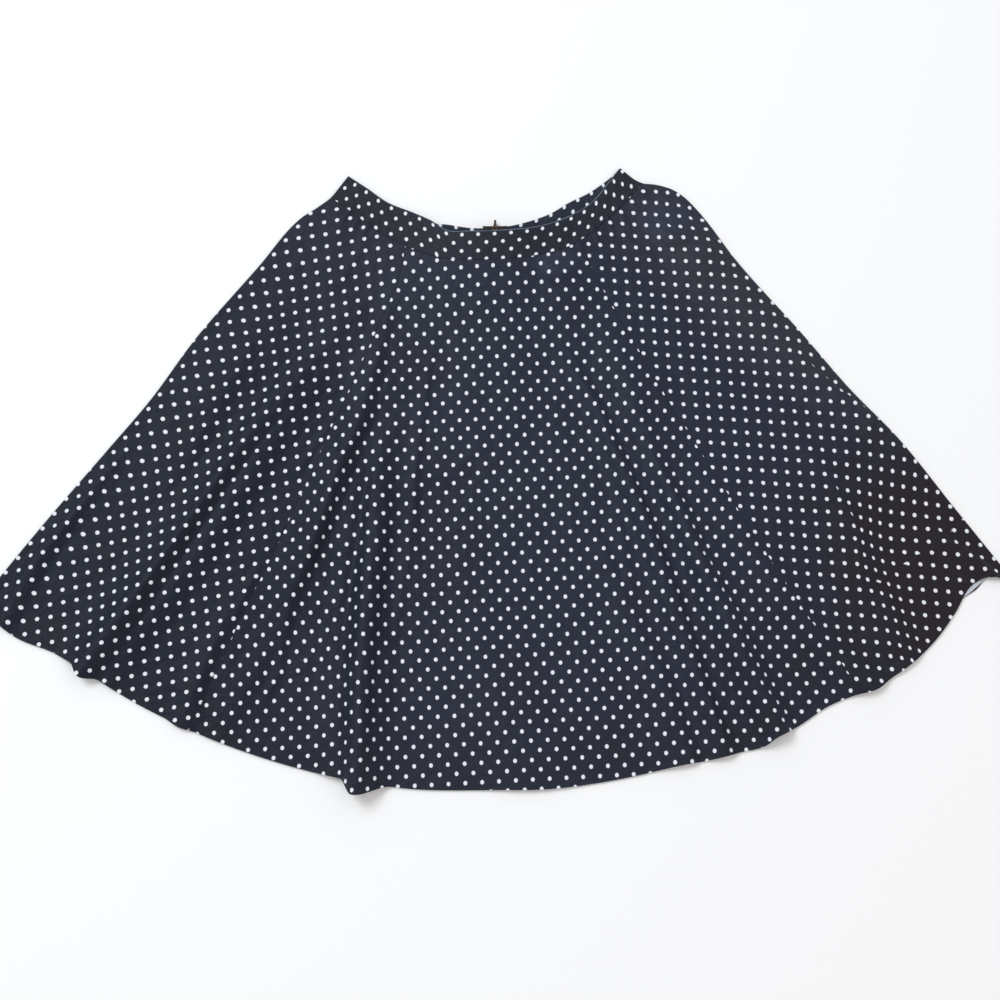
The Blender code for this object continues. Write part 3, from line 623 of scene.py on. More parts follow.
def unrolled(name, points, angle, radius, reference):
    """Flat coordinates of the cloth, measured along each row from the reference line."""
    flat_step = np.linalg.norm(np.diff(points[..., :2], axis=0), axis=-1)
    true_step = np.linalg.norm(np.diff(points, axis=0), axis=-1)
    extra = np.concatenate([np.zeros((1, angle.shape[1])), np.cumsum(true_step - flat_step, axis=0)])
    turn = angle + extra / (DEGREE * radius)
    for lap in LAPS:
        grown = ramp((radius - lap["start"]) / (lap["full"] - lap["start"])) * (radius < lap["end"])
        past = ramp(DEGREE * radius * (angle - lap["path"](radius)) / lap["spread"])
        turn = turn + lap["hidden"] * grown * past / (DEGREE * radius)
    at = np.abs(angle - reference(radius)).argmin(axis=0)
    columns = np.arange(angle.shape[1])
    turn = turn - (turn - angle)[at, columns]
    share, down = stretched(name, radius)
    turn = turn * share
    return (radius + down) * np.sin(turn * DEGREE), -(radius + down) * np.cos(turn * DEGREE)


# The band's dots: the radius that its ends are measured at, and the angle past which its rows
# hardly shift against each other. The eases are the cloth that is gathered in at its two ends.
BAND_RADIUS = 320.0
BAND_STRAIGHT = 14.0
BAND_EASE = [
    dict(start=24.0, end=36.0, hidden=7.0),
    dict(start=-28.5, end=-36.5, hidden=-4.0),
]


def along_strip(points, angle):
    """Flat coordinates of the band, a strip that was cut straight and is eased in at its ends."""
    rows = points.shape[1]
    length = np.cumsum(np.linalg.norm(np.diff(points, axis=0), axis=-1), axis=0)
    length = np.concatenate([np.zeros((1, rows)), length])
    at_back = [np.interp(CENTRE_BACK_ANGLE, angle[:, row], length[:, row]) for row in range(rows)]
    length = length - at_back
    middle = rows // 2
    inside = np.clip(angle, angle[0, middle], angle[-1, middle])
    past = DEGREE * BAND_RADIUS * (angle - inside)
    evenly = np.interp(inside, angle[:, middle], length[:, middle]) + past
    length = evenly + (length - evenly) / (1 + (angle / BAND_STRAIGHT) ** 2)
    for ease in BAND_EASE:
        length = length + ease["hidden"] * ramp((angle - ease["start"]) / (ease["end"] - ease["start"]))
    down = np.cumsum(np.linalg.norm(np.diff(points, axis=1), axis=-1), axis=1)
    down = np.concatenate([np.zeros((len(points), 1)), down], axis=1)
    return length, -down


def in_dots(flat, lattice):
    """The flat coordinates counted in dots along the two steps of a lattice."""
    first = lattice["turn"] * DEGREE
    second = lattice["next_turn"] * DEGREE
    steps = np.array([
        [lattice["step"] * math.cos(first), lattice["next_step"] * math.cos(second)],
        [lattice["step"] * math.sin(first), lattice["next_step"] * math.sin(second)],
    ])
    away = np.stack([flat[0] - lattice["dot"][0], flat[1] - lattice["dot"][1]], axis=-1)
    return away @ np.linalg.inv(steps).T


print("printed panels:", len(PRINTS))

# %% [markdown]
# ## Building a wall of cloth
#
# `cloth_wall` closes the two layers of a grid into one shell. Its faces carry two UV maps. `Print`
# counts dots, for the pattern and the weave. `Sewing` holds the distance in millimetres from the
# panel's upper and lower edge, which is what a paler edge needs. The lower layer gets a second
# material slot, because the wrong side of a print is paler.

# %% Closed shells with a print
made_pieces = {}


def grid_faces(columns, rows):
    """Faces of the upper layer, the lower layer and the four ends that join them."""
    def faces(*corners):
        return np.stack([a * rows + b + lower * columns * rows for a, b, lower in corners], axis=1)

    i, j = np.meshgrid(np.arange(columns - 1), np.arange(rows - 1), indexing="ij")
    i, j = i.ravel(), j.ravel()
    top = faces((i, j, 0), (i, j + 1, 0), (i + 1, j + 1, 0), (i + 1, j, 0))
    under = faces((i, j, 1), (i + 1, j, 1), (i + 1, j + 1, 1), (i, j + 1, 1))
    i = np.arange(columns - 1)
    j = np.arange(rows - 1)
    first = 0 * i
    last = rows - 1 + 0 * i
    left = 0 * j
    right = columns - 1 + 0 * j
    ends = [
        faces((i, first, 0), (i + 1, first, 0), (i + 1, first, 1), (i, first, 1)),
        faces((i + 1, last, 0), (i, last, 0), (i, last, 1), (i + 1, last, 1)),
        faces((left, j + 1, 0), (left, j, 0), (left, j, 1), (left, j + 1, 1)),
        faces((right, j, 0), (right, j + 1, 0), (right, j + 1, 1), (right, j, 1)),
    ]
    return top, under, np.concatenate(ends)


def cloth_wall(name, upper, lower, dots, sewing):
    """A closed cloth piece from its two layers, in millimetres, with its two UV maps."""
    columns, rows = upper.shape[:2]
    top, under, ends = grid_faces(columns, rows)
    faces = np.concatenate([top, ends, under])
    points = np.concatenate([upper.reshape(-1, 3), lower.reshape(-1, 3)]) * MM
    mesh = bpy.data.meshes.new(name)
    mesh.from_pydata(points.tolist(), [], faces.tolist())
    for layer_name, values in (("Print", dots), ("Sewing", sewing)):
        layer = mesh.uv_layers.new(name=layer_name)
        both = np.concatenate([values.reshape(-1, 2)] * 2)
        layer.data.foreach_set("uv", both[faces.ravel()].astype(np.float32).ravel())
    mesh.shade_smooth()
    inner = np.zeros(len(faces), np.int32)
    inner[len(top) + len(ends):] = 1
    mesh.polygons.foreach_set("material_index", inner)
    mesh.update()
    piece = bpy.data.objects.new(name, mesh)
    bpy.context.collection.objects.link(piece)
    made_pieces[name] = piece
    return piece


print("shell helpers ready")

# %% [markdown]
# ## The front
#
# Three gores and the band. All four read the same height, so they meet at the seams in one smooth
# surface that dips where it is stitched. The two side gores and the band roll over the skirt's
# side edge, where the real cloth simply goes on round to the back.

# %% Front panels
SEAM_GAP = 0.1
FAR_FROM_SIDE = 100.0


def front_panel(name, low_line, high_line, inner, outer, counts, wall, solid, rolls=(), reference=None):
    """One panel of the front. The counts are its columns and rows and its rough width and length in mm."""
    inset = EDGE_ROLL + 0.5 * solid
    low = shifted(low_line, inset if "left" in rolls else 0.5 * SEAM_GAP)
    high = shifted(high_line, -inset if "right" in rolls else -0.5 * SEAM_GAP)
    sides = with_close_ends(counts[0], counts[2])
    rows = with_close_ends(counts[1], counts[3])
    angle, radius = grid_between(sides, rows, low, high, inner, outer)
    middle, normal = wall_middle(angle, radius, solid)
    if reference:
        flat = unrolled(name, middle, angle, radius, reference)
    else:
        flat = along_strip(middle, angle)
    before = rolled_side(middle[0], normal[0], angle[0], -1)[::-1] if "left" in rolls else []
    after = rolled_side(middle[-1], normal[-1], angle[-1], 1) if "right" in rolls else []

    def with_rolls(values):
        """The values of the grid, with each side's own repeated over its roll."""
        return np.pad(values, ((len(before), len(after)), (0, 0)), mode="edge")

    flat_x = with_rolls(flat[0])
    flat_y = with_rolls(flat[1])
    turns = EDGE_ROLL * DEGREE * np.array(ROLL_TURNS)
    if before:
        flat_x[:len(before)] -= turns[::-1, None] * np.cos(angle[0] * DEGREE)
        flat_y[:len(before)] -= turns[::-1, None] * np.sin(angle[0] * DEGREE)
    if after:
        flat_x[-len(after):] += turns[:, None] * np.cos(angle[-1] * DEGREE)
        flat_y[-len(after):] += turns[:, None] * np.sin(angle[-1] * DEGREE)
    spread = DEGREE * radius
    to_low = FAR_FROM_SIDE if "left" in rolls else spread * (angle - low(radius))
    to_high = FAR_FROM_SIDE if "right" in rolls else spread * (high(radius) - angle)
    to_side = np.minimum(to_low, to_high) + 0 * angle
    to_top = radius - radius[:, :1]
    to_hem = radius[:, -1:] - radius
    share = edge_share(np.minimum(with_rolls(np.minimum(to_top, to_hem)), with_rolls(to_side)))
    middle = np.stack([point for point, _ in before] + list(middle) + [point for point, _ in after])
    normal = np.stack([lean for _, lean in before] + list(normal) + [lean for _, lean in after])
    core = middle + normal * 0.5 * (solid - wall)
    half = 0.5 * wall * share[..., None] * normal
    sewing = np.stack([with_rolls(to_top), with_rolls(to_hem)], axis=-1)
    cloth_wall(name, core + half, core - half, in_dots((flat_x, flat_y), PRINTS[name]), sewing)


under_band = beyond(band_seam, 0.5 * SEAM_GAP)
over_gores = beyond(band_seam, -0.5 * SEAM_GAP)
left_corner = rounded_corner(hem_radius, low_line=left_edge)
right_corner = rounded_corner(hem_radius, high_line=right_edge)
front_panel("front_centre_gore", left_seam, right_seam, under_band, hem_radius, (240, 180, 560, 620), CLOTH,
            SOLID_CLOTH, reference=centre_back)
front_panel("front_left_gore", left_edge, left_seam, under_band, left_corner,
            (190, 180, 240, 620), CLOTH, SOLID_CLOTH, rolls=("left",), reference=left_seam)
front_panel("front_right_gore", right_seam, right_edge, under_band, right_corner,
            (190, 180, 240, 620), CLOTH, SOLID_CLOTH, rolls=("right",), reference=right_seam)
front_panel("waistband_front", left_edge, right_edge, band_top, over_gores,
            (200, 14, 380, 36), BAND, SOLID_BAND, rolls=("left", "right"))

# %% [markdown]
# ## The back
#
# The back lies flat under the front, so it only shows past the waistband, at the right corner of
# the hem, and through the mouths of the folds. It is still made whole: four gores and the two
# halves of the band on either side of the zip, each flat on the table with a rounded edge.

# %% Back panels
BACK_WALL = 1.0
BACK_BAND_WALL = 1.6


def back_panel(name, low_line, high_line, inner, outer, counts, wall, lattice):
    """One panel of the back, flat on the table, with a rounded edge all round."""
    sides = with_close_ends(counts[0], counts[2])
    rows = with_close_ends(counts[1], counts[3])
    angle, radius = grid_between(sides, rows, low_line, high_line, inner, outer)
    spread = DEGREE * radius
    to_side = spread * np.minimum(angle - low_line(radius), high_line(radius) - angle)
    to_end = np.minimum(radius - radius[:, :1], radius[:, -1:] - radius)
    half = 0.5 * wall * edge_share(np.minimum(to_side, to_end))
    upper = place(angle, radius, 0.5 * wall + half)
    lower = place(angle, radius, 0.5 * wall - half)
    flat = (radius * np.sin(angle * DEGREE), -radius * np.cos(angle * DEGREE))
    if lattice == "waistband_back":
        flat = along_strip(upper, angle)
    sewing = np.stack([radius - radius[:, :1], radius[:, -1:] - radius], axis=-1)
    cloth_wall(name, upper, lower, in_dots(flat, PRINTS[lattice]), sewing)


low_side = shifted(left_edge, BACK_INSET + 0.5 * SOLID_CLOTH)
high_side = shifted(right_edge, -BACK_INSET - 0.5 * SOLID_CLOTH)
left_seam_outer = shifted(left_seam, -0.5 * SEAM_GAP)
left_seam_inner = shifted(left_seam, 0.5 * SEAM_GAP)
right_seam_inner = shifted(right_seam, -0.5 * SEAM_GAP)
right_seam_outer = shifted(right_seam, 0.5 * SEAM_GAP)
left_of_zip = shifted(centre_back, -0.5 * SEAM_GAP)
right_of_zip = shifted(centre_back, 0.5 * SEAM_GAP)
back_hem = rounded_corner(back_hem_radius, low_side, high_side)
under_back_band = beyond(back_band_seam, 0.5 * SEAM_GAP)
over_back_gores = beyond(back_band_seam, -0.5 * SEAM_GAP)
back_panel("back_left_side_gore", low_side, left_seam_outer, under_back_band, back_hem,
           (40, 60, 240, 620), BACK_WALL, "back_left_side_gore")
back_panel("back_centre_left_gore", left_seam_inner, left_of_zip, under_back_band, back_hem,
           (36, 60, 200, 620), BACK_WALL, "back_centre_gore")
back_panel("back_centre_right_gore", right_of_zip, right_seam_inner, under_back_band, back_hem,
           (36, 60, 200, 620), BACK_WALL, "back_centre_gore")
back_panel("back_right_side_gore", right_seam_outer, high_side, under_back_band, back_hem,
           (60, 60, 240, 620), BACK_WALL, "back_right_side_gore")
back_panel("waistband_back_left", low_side, left_of_zip, back_band_top, over_back_gores,
           (90, 12, 190, 36), BACK_BAND_WALL, "waistband_back")
back_panel("waistband_back_right", right_of_zip, high_side, back_band_top, over_back_gores,
           (90, 12, 190, 36), BACK_BAND_WALL, "waistband_back")
print("cloth pieces so far:", len(made_pieces))

# %% [markdown]
# ## The zip
#
# Only its top end shows, in the dark gap behind the front band: brown tape, a few metal teeth and
# the pull tab, which is the one part of the skirt that turns. The slider and the tab are already
# the right shape in the frame and just get a good metal. The tapes get a ribbed edge cord and the
# teeth are one small rounded block, repeated down both tapes with a half step between the sides.

# %% Tapes
TAPE = dict(length=180.0, inner=0.9, outer=14.5, thick=0.5, past_band=1.5, step=8.0)
TAPE_CORD = dict(half=0.8, rise=0.35)
TAPE_GRID = dict(across=15, along=121)
TAPE_RIBS = 10.0


def tape_floor(angle, radius):
    """Height of the cloth that the tapes lie on: the back band, then a step down onto the gores."""
    past = ramp((radius - back_band_seam(angle)) / TAPE["step"])
    return SOLID_BAND + GAP - past * (SOLID_BAND - SOLID_CLOTH)


def zip_tape(name, near, far):
    start = float(back_band_top(CENTRE_BACK_ANGLE)) - TAPE["past_band"]
    across = near + (far - near) * np.linspace(0, 1, TAPE_GRID["across"])
    along = start + TAPE["length"] * np.linspace(0, 1, TAPE_GRID["along"])
    offset, radius = np.meshgrid(across, along, indexing="ij")
    angle = CENTRE_BACK_ANGLE + offset / (DEGREE * radius)
    low = tape_floor(CENTRE_BACK_ANGLE, radius)
    cord = TAPE_CORD["rise"] * bump((np.abs(offset) - TAPE["inner"] - TAPE_CORD["half"]) / TAPE_CORD["half"])
    flat = (offset, -radius)
    lattice = dict(step=TAPE_RIBS, turn=0.0, next_step=TAPE_RIBS, next_turn=-90.0, dot=(0.0, -start))
    sewing = np.stack([radius - start, start + TAPE["length"] - radius], axis=-1)
    cloth_wall(name, place(angle, radius, low + TAPE["thick"] + cord), place(angle, radius, low),
               in_dots(flat, lattice), sewing)


zip_tape("zip_tape_left", -TAPE["outer"], -TAPE["inner"])
zip_tape("zip_tape_right", TAPE["inner"], TAPE["outer"])
print("tape length", TAPE["length"], "mm")

# %% Teeth
TOOTH = dict(pitch=2.0, first=9.0, spare=8, half_width=1.5, half_length=0.62, half_height=0.42,
             bevel=0.18, over=0.35, sunk=0.45, tip=0.2, tip_scale=0.7)
SHARP_ANGLE = 35


def tooth_outline():
    """Rounded rectangle round one tooth, as steps along the zip and up from the tape."""
    long = TOOTH["half_length"]
    high = TOOTH["half_height"]
    cut = TOOTH["bevel"]
    corner = [(long, cut - high), (long, high - cut), (long - cut, high), (cut - long, high)]
    return corner + [(-along, -up) for along, up in corner]


def zip_teeth():
    """Two rows of rounded blocks that reach past the centre line by turns."""
    start = float(back_band_top(CENTRE_BACK_ANGLE)) + TOOTH["first"]
    count = int((TAPE["length"] - TOOTH["first"] - TOOTH["spare"]) / TOOTH["pitch"])
    outline = tooth_outline()
    ring = len(outline)
    far = 2 * TOOTH["half_width"]
    tip, small = TOOTH["tip"], TOOTH["tip_scale"]
    sections = [(-TOOTH["over"], small), (tip - TOOTH["over"], 1.0), (far, 1.0), (far + tip, small)]
    last = (len(sections) - 1) * ring
    points = []
    faces = []
    for index in range(2 * count):
        side = 1 if index % 2 else -1
        radius = start + 0.5 * TOOTH["pitch"] * index
        level = float(tape_floor(CENTRE_BACK_ANGLE, radius)) + TAPE["thick"]
        level = level + TOOTH["half_height"] - TOOTH["sunk"]
        base = len(points)
        for reach, scale in sections:
            for along, up in outline:
                angle = CENTRE_BACK_ANGLE + side * reach / (DEGREE * radius)
                points.append(place(angle, radius + scale * along, level + scale * up))
        for first in range(base, base + last, ring):
            faces += [(first + k, first + (k + 1) % ring, first + ring + (k + 1) % ring, first + ring + k)
                      for k in range(ring)]
        faces.append(tuple(base + k for k in reversed(range(ring))))
        faces.append(tuple(base + last + k for k in range(ring)))
    mesh = bpy.data.meshes.new("zip_teeth")
    mesh.from_pydata((np.array(points) * MM).tolist(), [], faces)
    solid = bmesh.new()
    solid.from_mesh(mesh)
    bmesh.ops.recalc_face_normals(solid, faces=solid.faces)
    solid.to_mesh(mesh)
    solid.free()
    mesh.shade_smooth()
    mesh.set_sharp_from_angle(angle=SHARP_ANGLE * DEGREE)
    teeth = bpy.data.objects.new("zip_teeth", mesh)
    bpy.context.collection.objects.link(teeth)
    return teeth


teeth = zip_teeth()
print("teeth faces:", len(teeth.data.polygons))

# %% [markdown]
# ## Sewing that shows
#
# At the right corner the back hem shows below the front, wrong side up: a pale overlocked edge,
# where a thread is looped over the raw cloth every millimetre and a half. It is modelled as one
# narrow domed strip, and its top rises and falls once for each loop.

# %% The overlocked strip at the right corner
STRIP_PATH = [
    dict(angle=34.7, radius=915.5, width=3.0),
    dict(angle=35.2, radius=915.0, width=5.0),
    dict(angle=35.8, radius=915.0, width=5.4),
    dict(angle=36.5, radius=914.6, width=4.4),
    dict(angle=37.1, radius=915.0, width=3.0),
    dict(angle=37.6, radius=917.0, width=2.0),
]
STRIP = dict(top=1.35, under=0.25, crown=0.5, ridge=0.12, columns=9, rows=60)
LOOP_PITCH = 1.5


def overlock_strip():
    """The row of loops, along its path and across its width."""
    strip_radius = column(STRIP_PATH, "angle", "radius")
    strip_width = column(STRIP_PATH, "angle", "width")
    along = np.linspace(STRIP_PATH[0]["angle"], STRIP_PATH[-1]["angle"], STRIP["rows"])
    across = np.linspace(-0.5, 0.5, STRIP["columns"])
    share, angle = np.meshgrid(across, along, indexing="ij")
    radius = strip_radius(angle) + share * strip_width(angle)
    crown = STRIP["crown"] * (1 - (2 * share) ** 2)
    ridges = STRIP["ridge"] * np.sin(2 * math.pi * angle * DEGREE * radius / LOOP_PITCH)
    upper = place(angle, radius, STRIP["top"] + crown + ridges)
    lower = place(angle, radius, STRIP["top"] - STRIP["under"] + 0 * angle)
    dots = np.stack([share, angle], axis=-1)
    return cloth_wall("hem_overlock", upper[::-1], lower[::-1], dots[::-1], dots[::-1])


overlock = overlock_strip()
print("overlocked strip faces:", len(overlock.data.polygons))

# %% [markdown]
# ## Printed cotton as a material
#
# Four effects are shared by several materials, so each is a shader node group. `Dot print` turns
# the dot count of the UV map into round dots: the distance from the nearest whole number, with a
# soft, slightly uneven edge where the white ink meets the thread. `Sateen weave` makes the fine
# ribs of the thread as a height, and `Soft crumple` the shallow unevenness that no iron takes out.
# `Painted light patch` is a soft patch with a blotchy edge, round a point of the skirt or drawn out
# along a line, that paints light and shade into the colour of the cloth.

# %% Node group helpers
def new_group(name, inputs, outputs):
    group = bpy.data.node_groups.new(name, "ShaderNodeTree")
    for label, kind, value in inputs:
        socket = group.interface.new_socket(name=label, in_out="INPUT", socket_type=kind)
        if value is not None:
            socket.default_value = value
    for label, kind in outputs:
        group.interface.new_socket(name=label, in_out="OUTPUT", socket_type=kind)
    start = group.nodes.new("NodeGroupInput")
    end = group.nodes.new("NodeGroupOutput")
    return group, start, end


def feed(tree, socket, value):
    """Link another node's output to a socket, or put a plain value on it."""
    if isinstance(value, bpy.types.NodeSocket):
        tree.links.new(value, socket)
    elif value is not None:
        socket.default_value = value


def math_node(tree, operation, first, second=None):
    node = tree.nodes.new("ShaderNodeMath")
    node.operation = operation
    feed(tree, node.inputs[0], first)
    feed(tree, node.inputs[1], second)
    return node.outputs[0]


def vector_node(tree, operation, first, second=None, scale=None):
    node = tree.nodes.new("ShaderNodeVectorMath")
    node.operation = operation
    feed(tree, node.inputs[0], first)
    feed(tree, node.inputs[1], second)
    if scale is not None:
        feed(tree, node.inputs["Scale"], scale)
    return node.outputs["Value" if operation in ("LENGTH", "DOT_PRODUCT") else "Vector"]


def noise_node(tree, vector, scale, detail=2.0, roughness=0.5):
    node = tree.nodes.new("ShaderNodeTexNoise")
    feed(tree, node.inputs["Vector"], vector)
    feed(tree, node.inputs["Scale"], scale)
    feed(tree, node.inputs["Detail"], detail)
    feed(tree, node.inputs["Roughness"], roughness)
    return node


def map_range(tree, value, from_low, from_high, to_low=0.0, to_high=1.0, smooth=True):
    node = tree.nodes.new("ShaderNodeMapRange")
    node.interpolation_type = "SMOOTHSTEP" if smooth else "LINEAR"
    for index, entry in enumerate((value, from_low, from_high, to_low, to_high)):
        feed(tree, node.inputs[index], entry)
    return node.outputs["Result"]


def mix_colour(tree, factor, first, second):
    node = tree.nodes.new("ShaderNodeMix")
    node.data_type = "RGBA"
    feed(tree, node.inputs["Factor"], factor)
    sockets = [socket for socket in node.inputs if socket.type == "RGBA"]
    for socket, value in zip(sockets, (first, second)):
        feed(tree, socket, (*value, 1) if isinstance(value, tuple) else value)
    return [socket for socket in node.outputs if socket.type == "RGBA"][0]


print("node helpers ready")


# %% Dot print
EDGE_NOISE = 6.0
WEAR_NOISE = 9.0
WORN_FROM = (0.35, 0.7)


def make_dot_print():
    group, start, end = new_group(
        "Dot print",
        [("Vector", "NodeSocketVector", None), ("Dot Radius", "NodeSocketFloat", 0.195),
         ("Softness", "NodeSocketFloat", 0.02), ("Unevenness", "NodeSocketFloat", 0.03)],
        [("Mask", "NodeSocketFloat"), ("Wear", "NodeSocketFloat")],
    )
    uneven = noise_node(group, start.outputs["Vector"], EDGE_NOISE)
    centred = vector_node(group, "SUBTRACT", uneven.outputs["Color"], (0.5, 0.5, 0.5))
    shift = vector_node(group, "SCALE", centred, scale=start.outputs["Unevenness"])
    moved = vector_node(group, "ADD", start.outputs["Vector"], shift)
    whole = vector_node(group, "ADD", moved, (0.5, 0.5, 0.0))
    part = vector_node(group, "FRACTION", whole)
    off = vector_node(group, "SUBTRACT", part, (0.5, 0.5, 0.0))
    level = vector_node(group, "MULTIPLY", off, (1.0, 1.0, 0.0))
    distance = vector_node(group, "LENGTH", level)
    outer = math_node(group, "ADD", start.outputs["Dot Radius"], start.outputs["Softness"])
    inner = math_node(group, "SUBTRACT", start.outputs["Dot Radius"], start.outputs["Softness"])
    mask = map_range(group, distance, inner, outer, 1.0, 0.0)
    worn = noise_node(group, start.outputs["Vector"], WEAR_NOISE, 3.0)
    wear = map_range(group, worn.outputs["Fac"], *WORN_FROM)
    group.links.new(mask, end.inputs["Mask"])
    group.links.new(wear, end.inputs["Wear"])
    return group


dot_print = make_dot_print()
print("group:", dot_print.name)


# %% Sateen weave, soft crumple and light fading
SLUB_DRAWN_OUT = (3.0, 26.0, 1.0)
WARP_SHARE = 0.5
CRUMPLE_DISTORTION = 0.6
FINE_CRUMPLE = dict(scale=4.3, share=0.22)
CRUMPLE_TONES = (0.3, 0.7)
BLOTCHES = 4.5
PATCH_EDGE = (0.4, 1.15)


def make_weave():
    group, start, end = new_group(
        "Sateen weave",
        [("Vector", "NodeSocketVector", None), ("Threads", "NodeSocketFloat", 36.0)],
        [("Height", "NodeSocketFloat"), ("Tone", "NodeSocketFloat")],
    )
    scaled = vector_node(group, "SCALE", start.outputs["Vector"], scale=start.outputs["Threads"])
    split = group.nodes.new("ShaderNodeSeparateXYZ")
    group.links.new(scaled, split.inputs["Vector"])
    warp = math_node(group, "SINE", math_node(group, "MULTIPLY", split.outputs["X"], 2 * math.pi))
    weft = math_node(group, "SINE", math_node(group, "MULTIPLY", split.outputs["Y"], 2 * math.pi))
    crossing = math_node(group, "MULTIPLY", warp, weft)
    crossing = math_node(group, "ADD", crossing, math_node(group, "MULTIPLY", warp, WARP_SHARE))
    drawn_out = vector_node(group, "MULTIPLY", start.outputs["Vector"], SLUB_DRAWN_OUT)
    slub = noise_node(group, drawn_out, 1.0, 3.0)
    group.links.new(crossing, end.inputs["Height"])
    group.links.new(slub.outputs["Fac"], end.inputs["Tone"])
    return group


def make_crumple():
    group, start, end = new_group(
        "Soft crumple",
        [("Vector", "NodeSocketVector", None), ("Scale", "NodeSocketFloat", 0.35)],
        [("Height", "NodeSocketFloat"), ("Tone", "NodeSocketFloat")],
    )
    scaled = vector_node(group, "SCALE", start.outputs["Vector"], scale=start.outputs["Scale"])
    broad = noise_node(group, scaled, 1.0, 4.0, 0.55)
    broad.inputs["Distortion"].default_value = CRUMPLE_DISTORTION
    fine = noise_node(group, scaled, FINE_CRUMPLE["scale"], 3.0, 0.5)
    low_relief = math_node(group, "MULTIPLY", fine.outputs["Fac"], FINE_CRUMPLE["share"])
    height = math_node(group, "ADD", broad.outputs["Fac"], low_relief)
    group.links.new(height, end.inputs["Height"])
    group.links.new(map_range(group, broad.outputs["Fac"], *CRUMPLE_TONES), end.inputs["Tone"])
    return group


def make_painted_light_patch():
    """Tone is 0 inside the patch and 1 outside. Along is the line that it is drawn out on."""
    group, start, end = new_group(
        "Painted light patch",
        [("Vector", "NodeSocketVector", None), ("At", "NodeSocketVector", None),
         ("Along", "NodeSocketVector", None), ("Reach", "NodeSocketFloat", 0.6)],
        [("Tone", "NodeSocketFloat")],
    )
    reach = start.outputs["Reach"]
    away = vector_node(group, "SUBTRACT", start.outputs["Vector"], start.outputs["At"])
    level = vector_node(group, "MULTIPLY", away, (1.0, 1.0, 0.0))
    on_line = vector_node(group, "DOT_PRODUCT", level, start.outputs["Along"])
    far = math_node(group, "POWER", vector_node(group, "LENGTH", level), 2.0)
    spared = math_node(group, "POWER", on_line, 2.0)
    distance = math_node(group, "SQRT", math_node(group, "SUBTRACT", far, spared))
    finer = math_node(group, "DIVIDE", BLOTCHES, reach)
    blotch = noise_node(group, start.outputs["Vector"], finer, 4.0, 0.6)
    uneven = math_node(group, "SUBTRACT", blotch.outputs["Fac"], 0.5)
    spread = math_node(group, "MULTIPLY", uneven, reach)
    share = math_node(group, "DIVIDE", math_node(group, "ADD", distance, spread), reach)
    group.links.new(map_range(group, share, *PATCH_EDGE), end.inputs["Tone"])
    return group


weave = make_weave()
crumple = make_crumple()
painted_light_patch = make_painted_light_patch()
print("groups:", weave.name, crumple.name, "and", painted_light_patch.name)

# %% [markdown]
# ## Dyed cotton, dotted
#
# Real navy is close to black with a little blue in it. A weak sheen and a broad gloss lift it where
# the sateen catches the window. Light and shade are painted into the ground as well: a painted pool
# of light in the middle and painted shade towards the edges, more painted shade on the left, painted
# light along the right side, painted warm shade at its tip, and painted highlights at the hip and
# below the band. The dots are a matt white ink, and the wrong side shows them greyer. The band is
# darker, with only the painted pool of light, and it is paler along its pressed upper edge.

# %% The colours of the cotton
NAVY = (0.0160, 0.0200, 0.0376)
# The ground towards the edges, darkened with painted shade.
NAVY_PAINTED_EDGE_SHADE = (0.0135, 0.0142, 0.0220)
# Painted shade for the left side.
NAVY_SHADED = (0.0070, 0.0104, 0.0205)
# Painted light for the right side.
NAVY_PAINTED_SIDE_LIGHT = (0.0270, 0.0275, 0.0415)
# Painted warm shade for the right tip.
NAVY_PAINTED_WARM_SHADE = (0.0155, 0.0112, 0.0170)
# Painted highlight colour.
NAVY_PAINTED_HIGHLIGHT = (0.0250, 0.0300, 0.0530)
# The band towards its edges, darkened with painted shade.
BAND_PAINTED_EDGE_SHADE = (0.0150, 0.0130, 0.0200)
BAND_NAVY = (0.0148, 0.0162, 0.0275)
INK = (0.78, 0.80, 0.86)
INK_WORN = (0.66, 0.68, 0.74)
PALE_TOP_EDGE = (0.14, 0.19, 0.24)
WRONG_SIDE = (0.022, 0.026, 0.040)
# The wrong side towards the edges, darkened with painted shade.
WRONG_SIDE_PAINTED_EDGE_SHADE = (0.022, 0.020, 0.028)
INK_BEHIND = (0.30, 0.31, 0.36)
INK_BEHIND_WORN = (0.2, 0.21, 0.26)
print("navy:", NAVY, "and ink:", INK)

# %% Where light and shade are painted into it, and its finish
# A painted pool of light in the middle of the skirt; outside it the ground turns to painted shade.
PAINTED_LIGHT_POOL = {"At": (0.05, 0.03, 0.0), "Reach": 0.54}
# The line that the painted highlights are drawn out along.
PAINTED_HIGHLIGHT_ALONG = (0.75, 0.18, 0.0)
PATCHES = [
    # Painted shade on the left.
    dict(tint=NAVY_SHADED, place={"At": (-0.38, -0.03, 0.0), "Reach": 0.36}),
    # A painted pool of light drawn out along the right side.
    dict(tint=NAVY_PAINTED_SIDE_LIGHT, place={"At": (0.30, 0.21, 0.0), "Along": (0.67, -0.69, 0.0), "Reach": 0.078}),
    # Painted warm shade at the right tip.
    dict(tint=NAVY_PAINTED_WARM_SHADE, place={"At": (0.51, -0.10, 0.0), "Reach": 0.17}),
    # Painted highlights at the hip and below the band.
    dict(tint=NAVY_PAINTED_HIGHLIGHT, place={"At": (0.203, 0.301, 0.0), "Along": PAINTED_HIGHLIGHT_ALONG, "Reach": 0.028}),
    dict(tint=NAVY_PAINTED_HIGHLIGHT, place={"At": (0.073, 0.247, 0.0), "Along": PAINTED_HIGHLIGHT_ALONG, "Reach": 0.019}),
]
DOT = {"Dot Radius": 0.158, "Softness": 0.03, "Unevenness": 0.035}
COTTON_THREADS = 34.0
COTTON_CRUMPLE = 0.32
INK_WEAR = 0.35
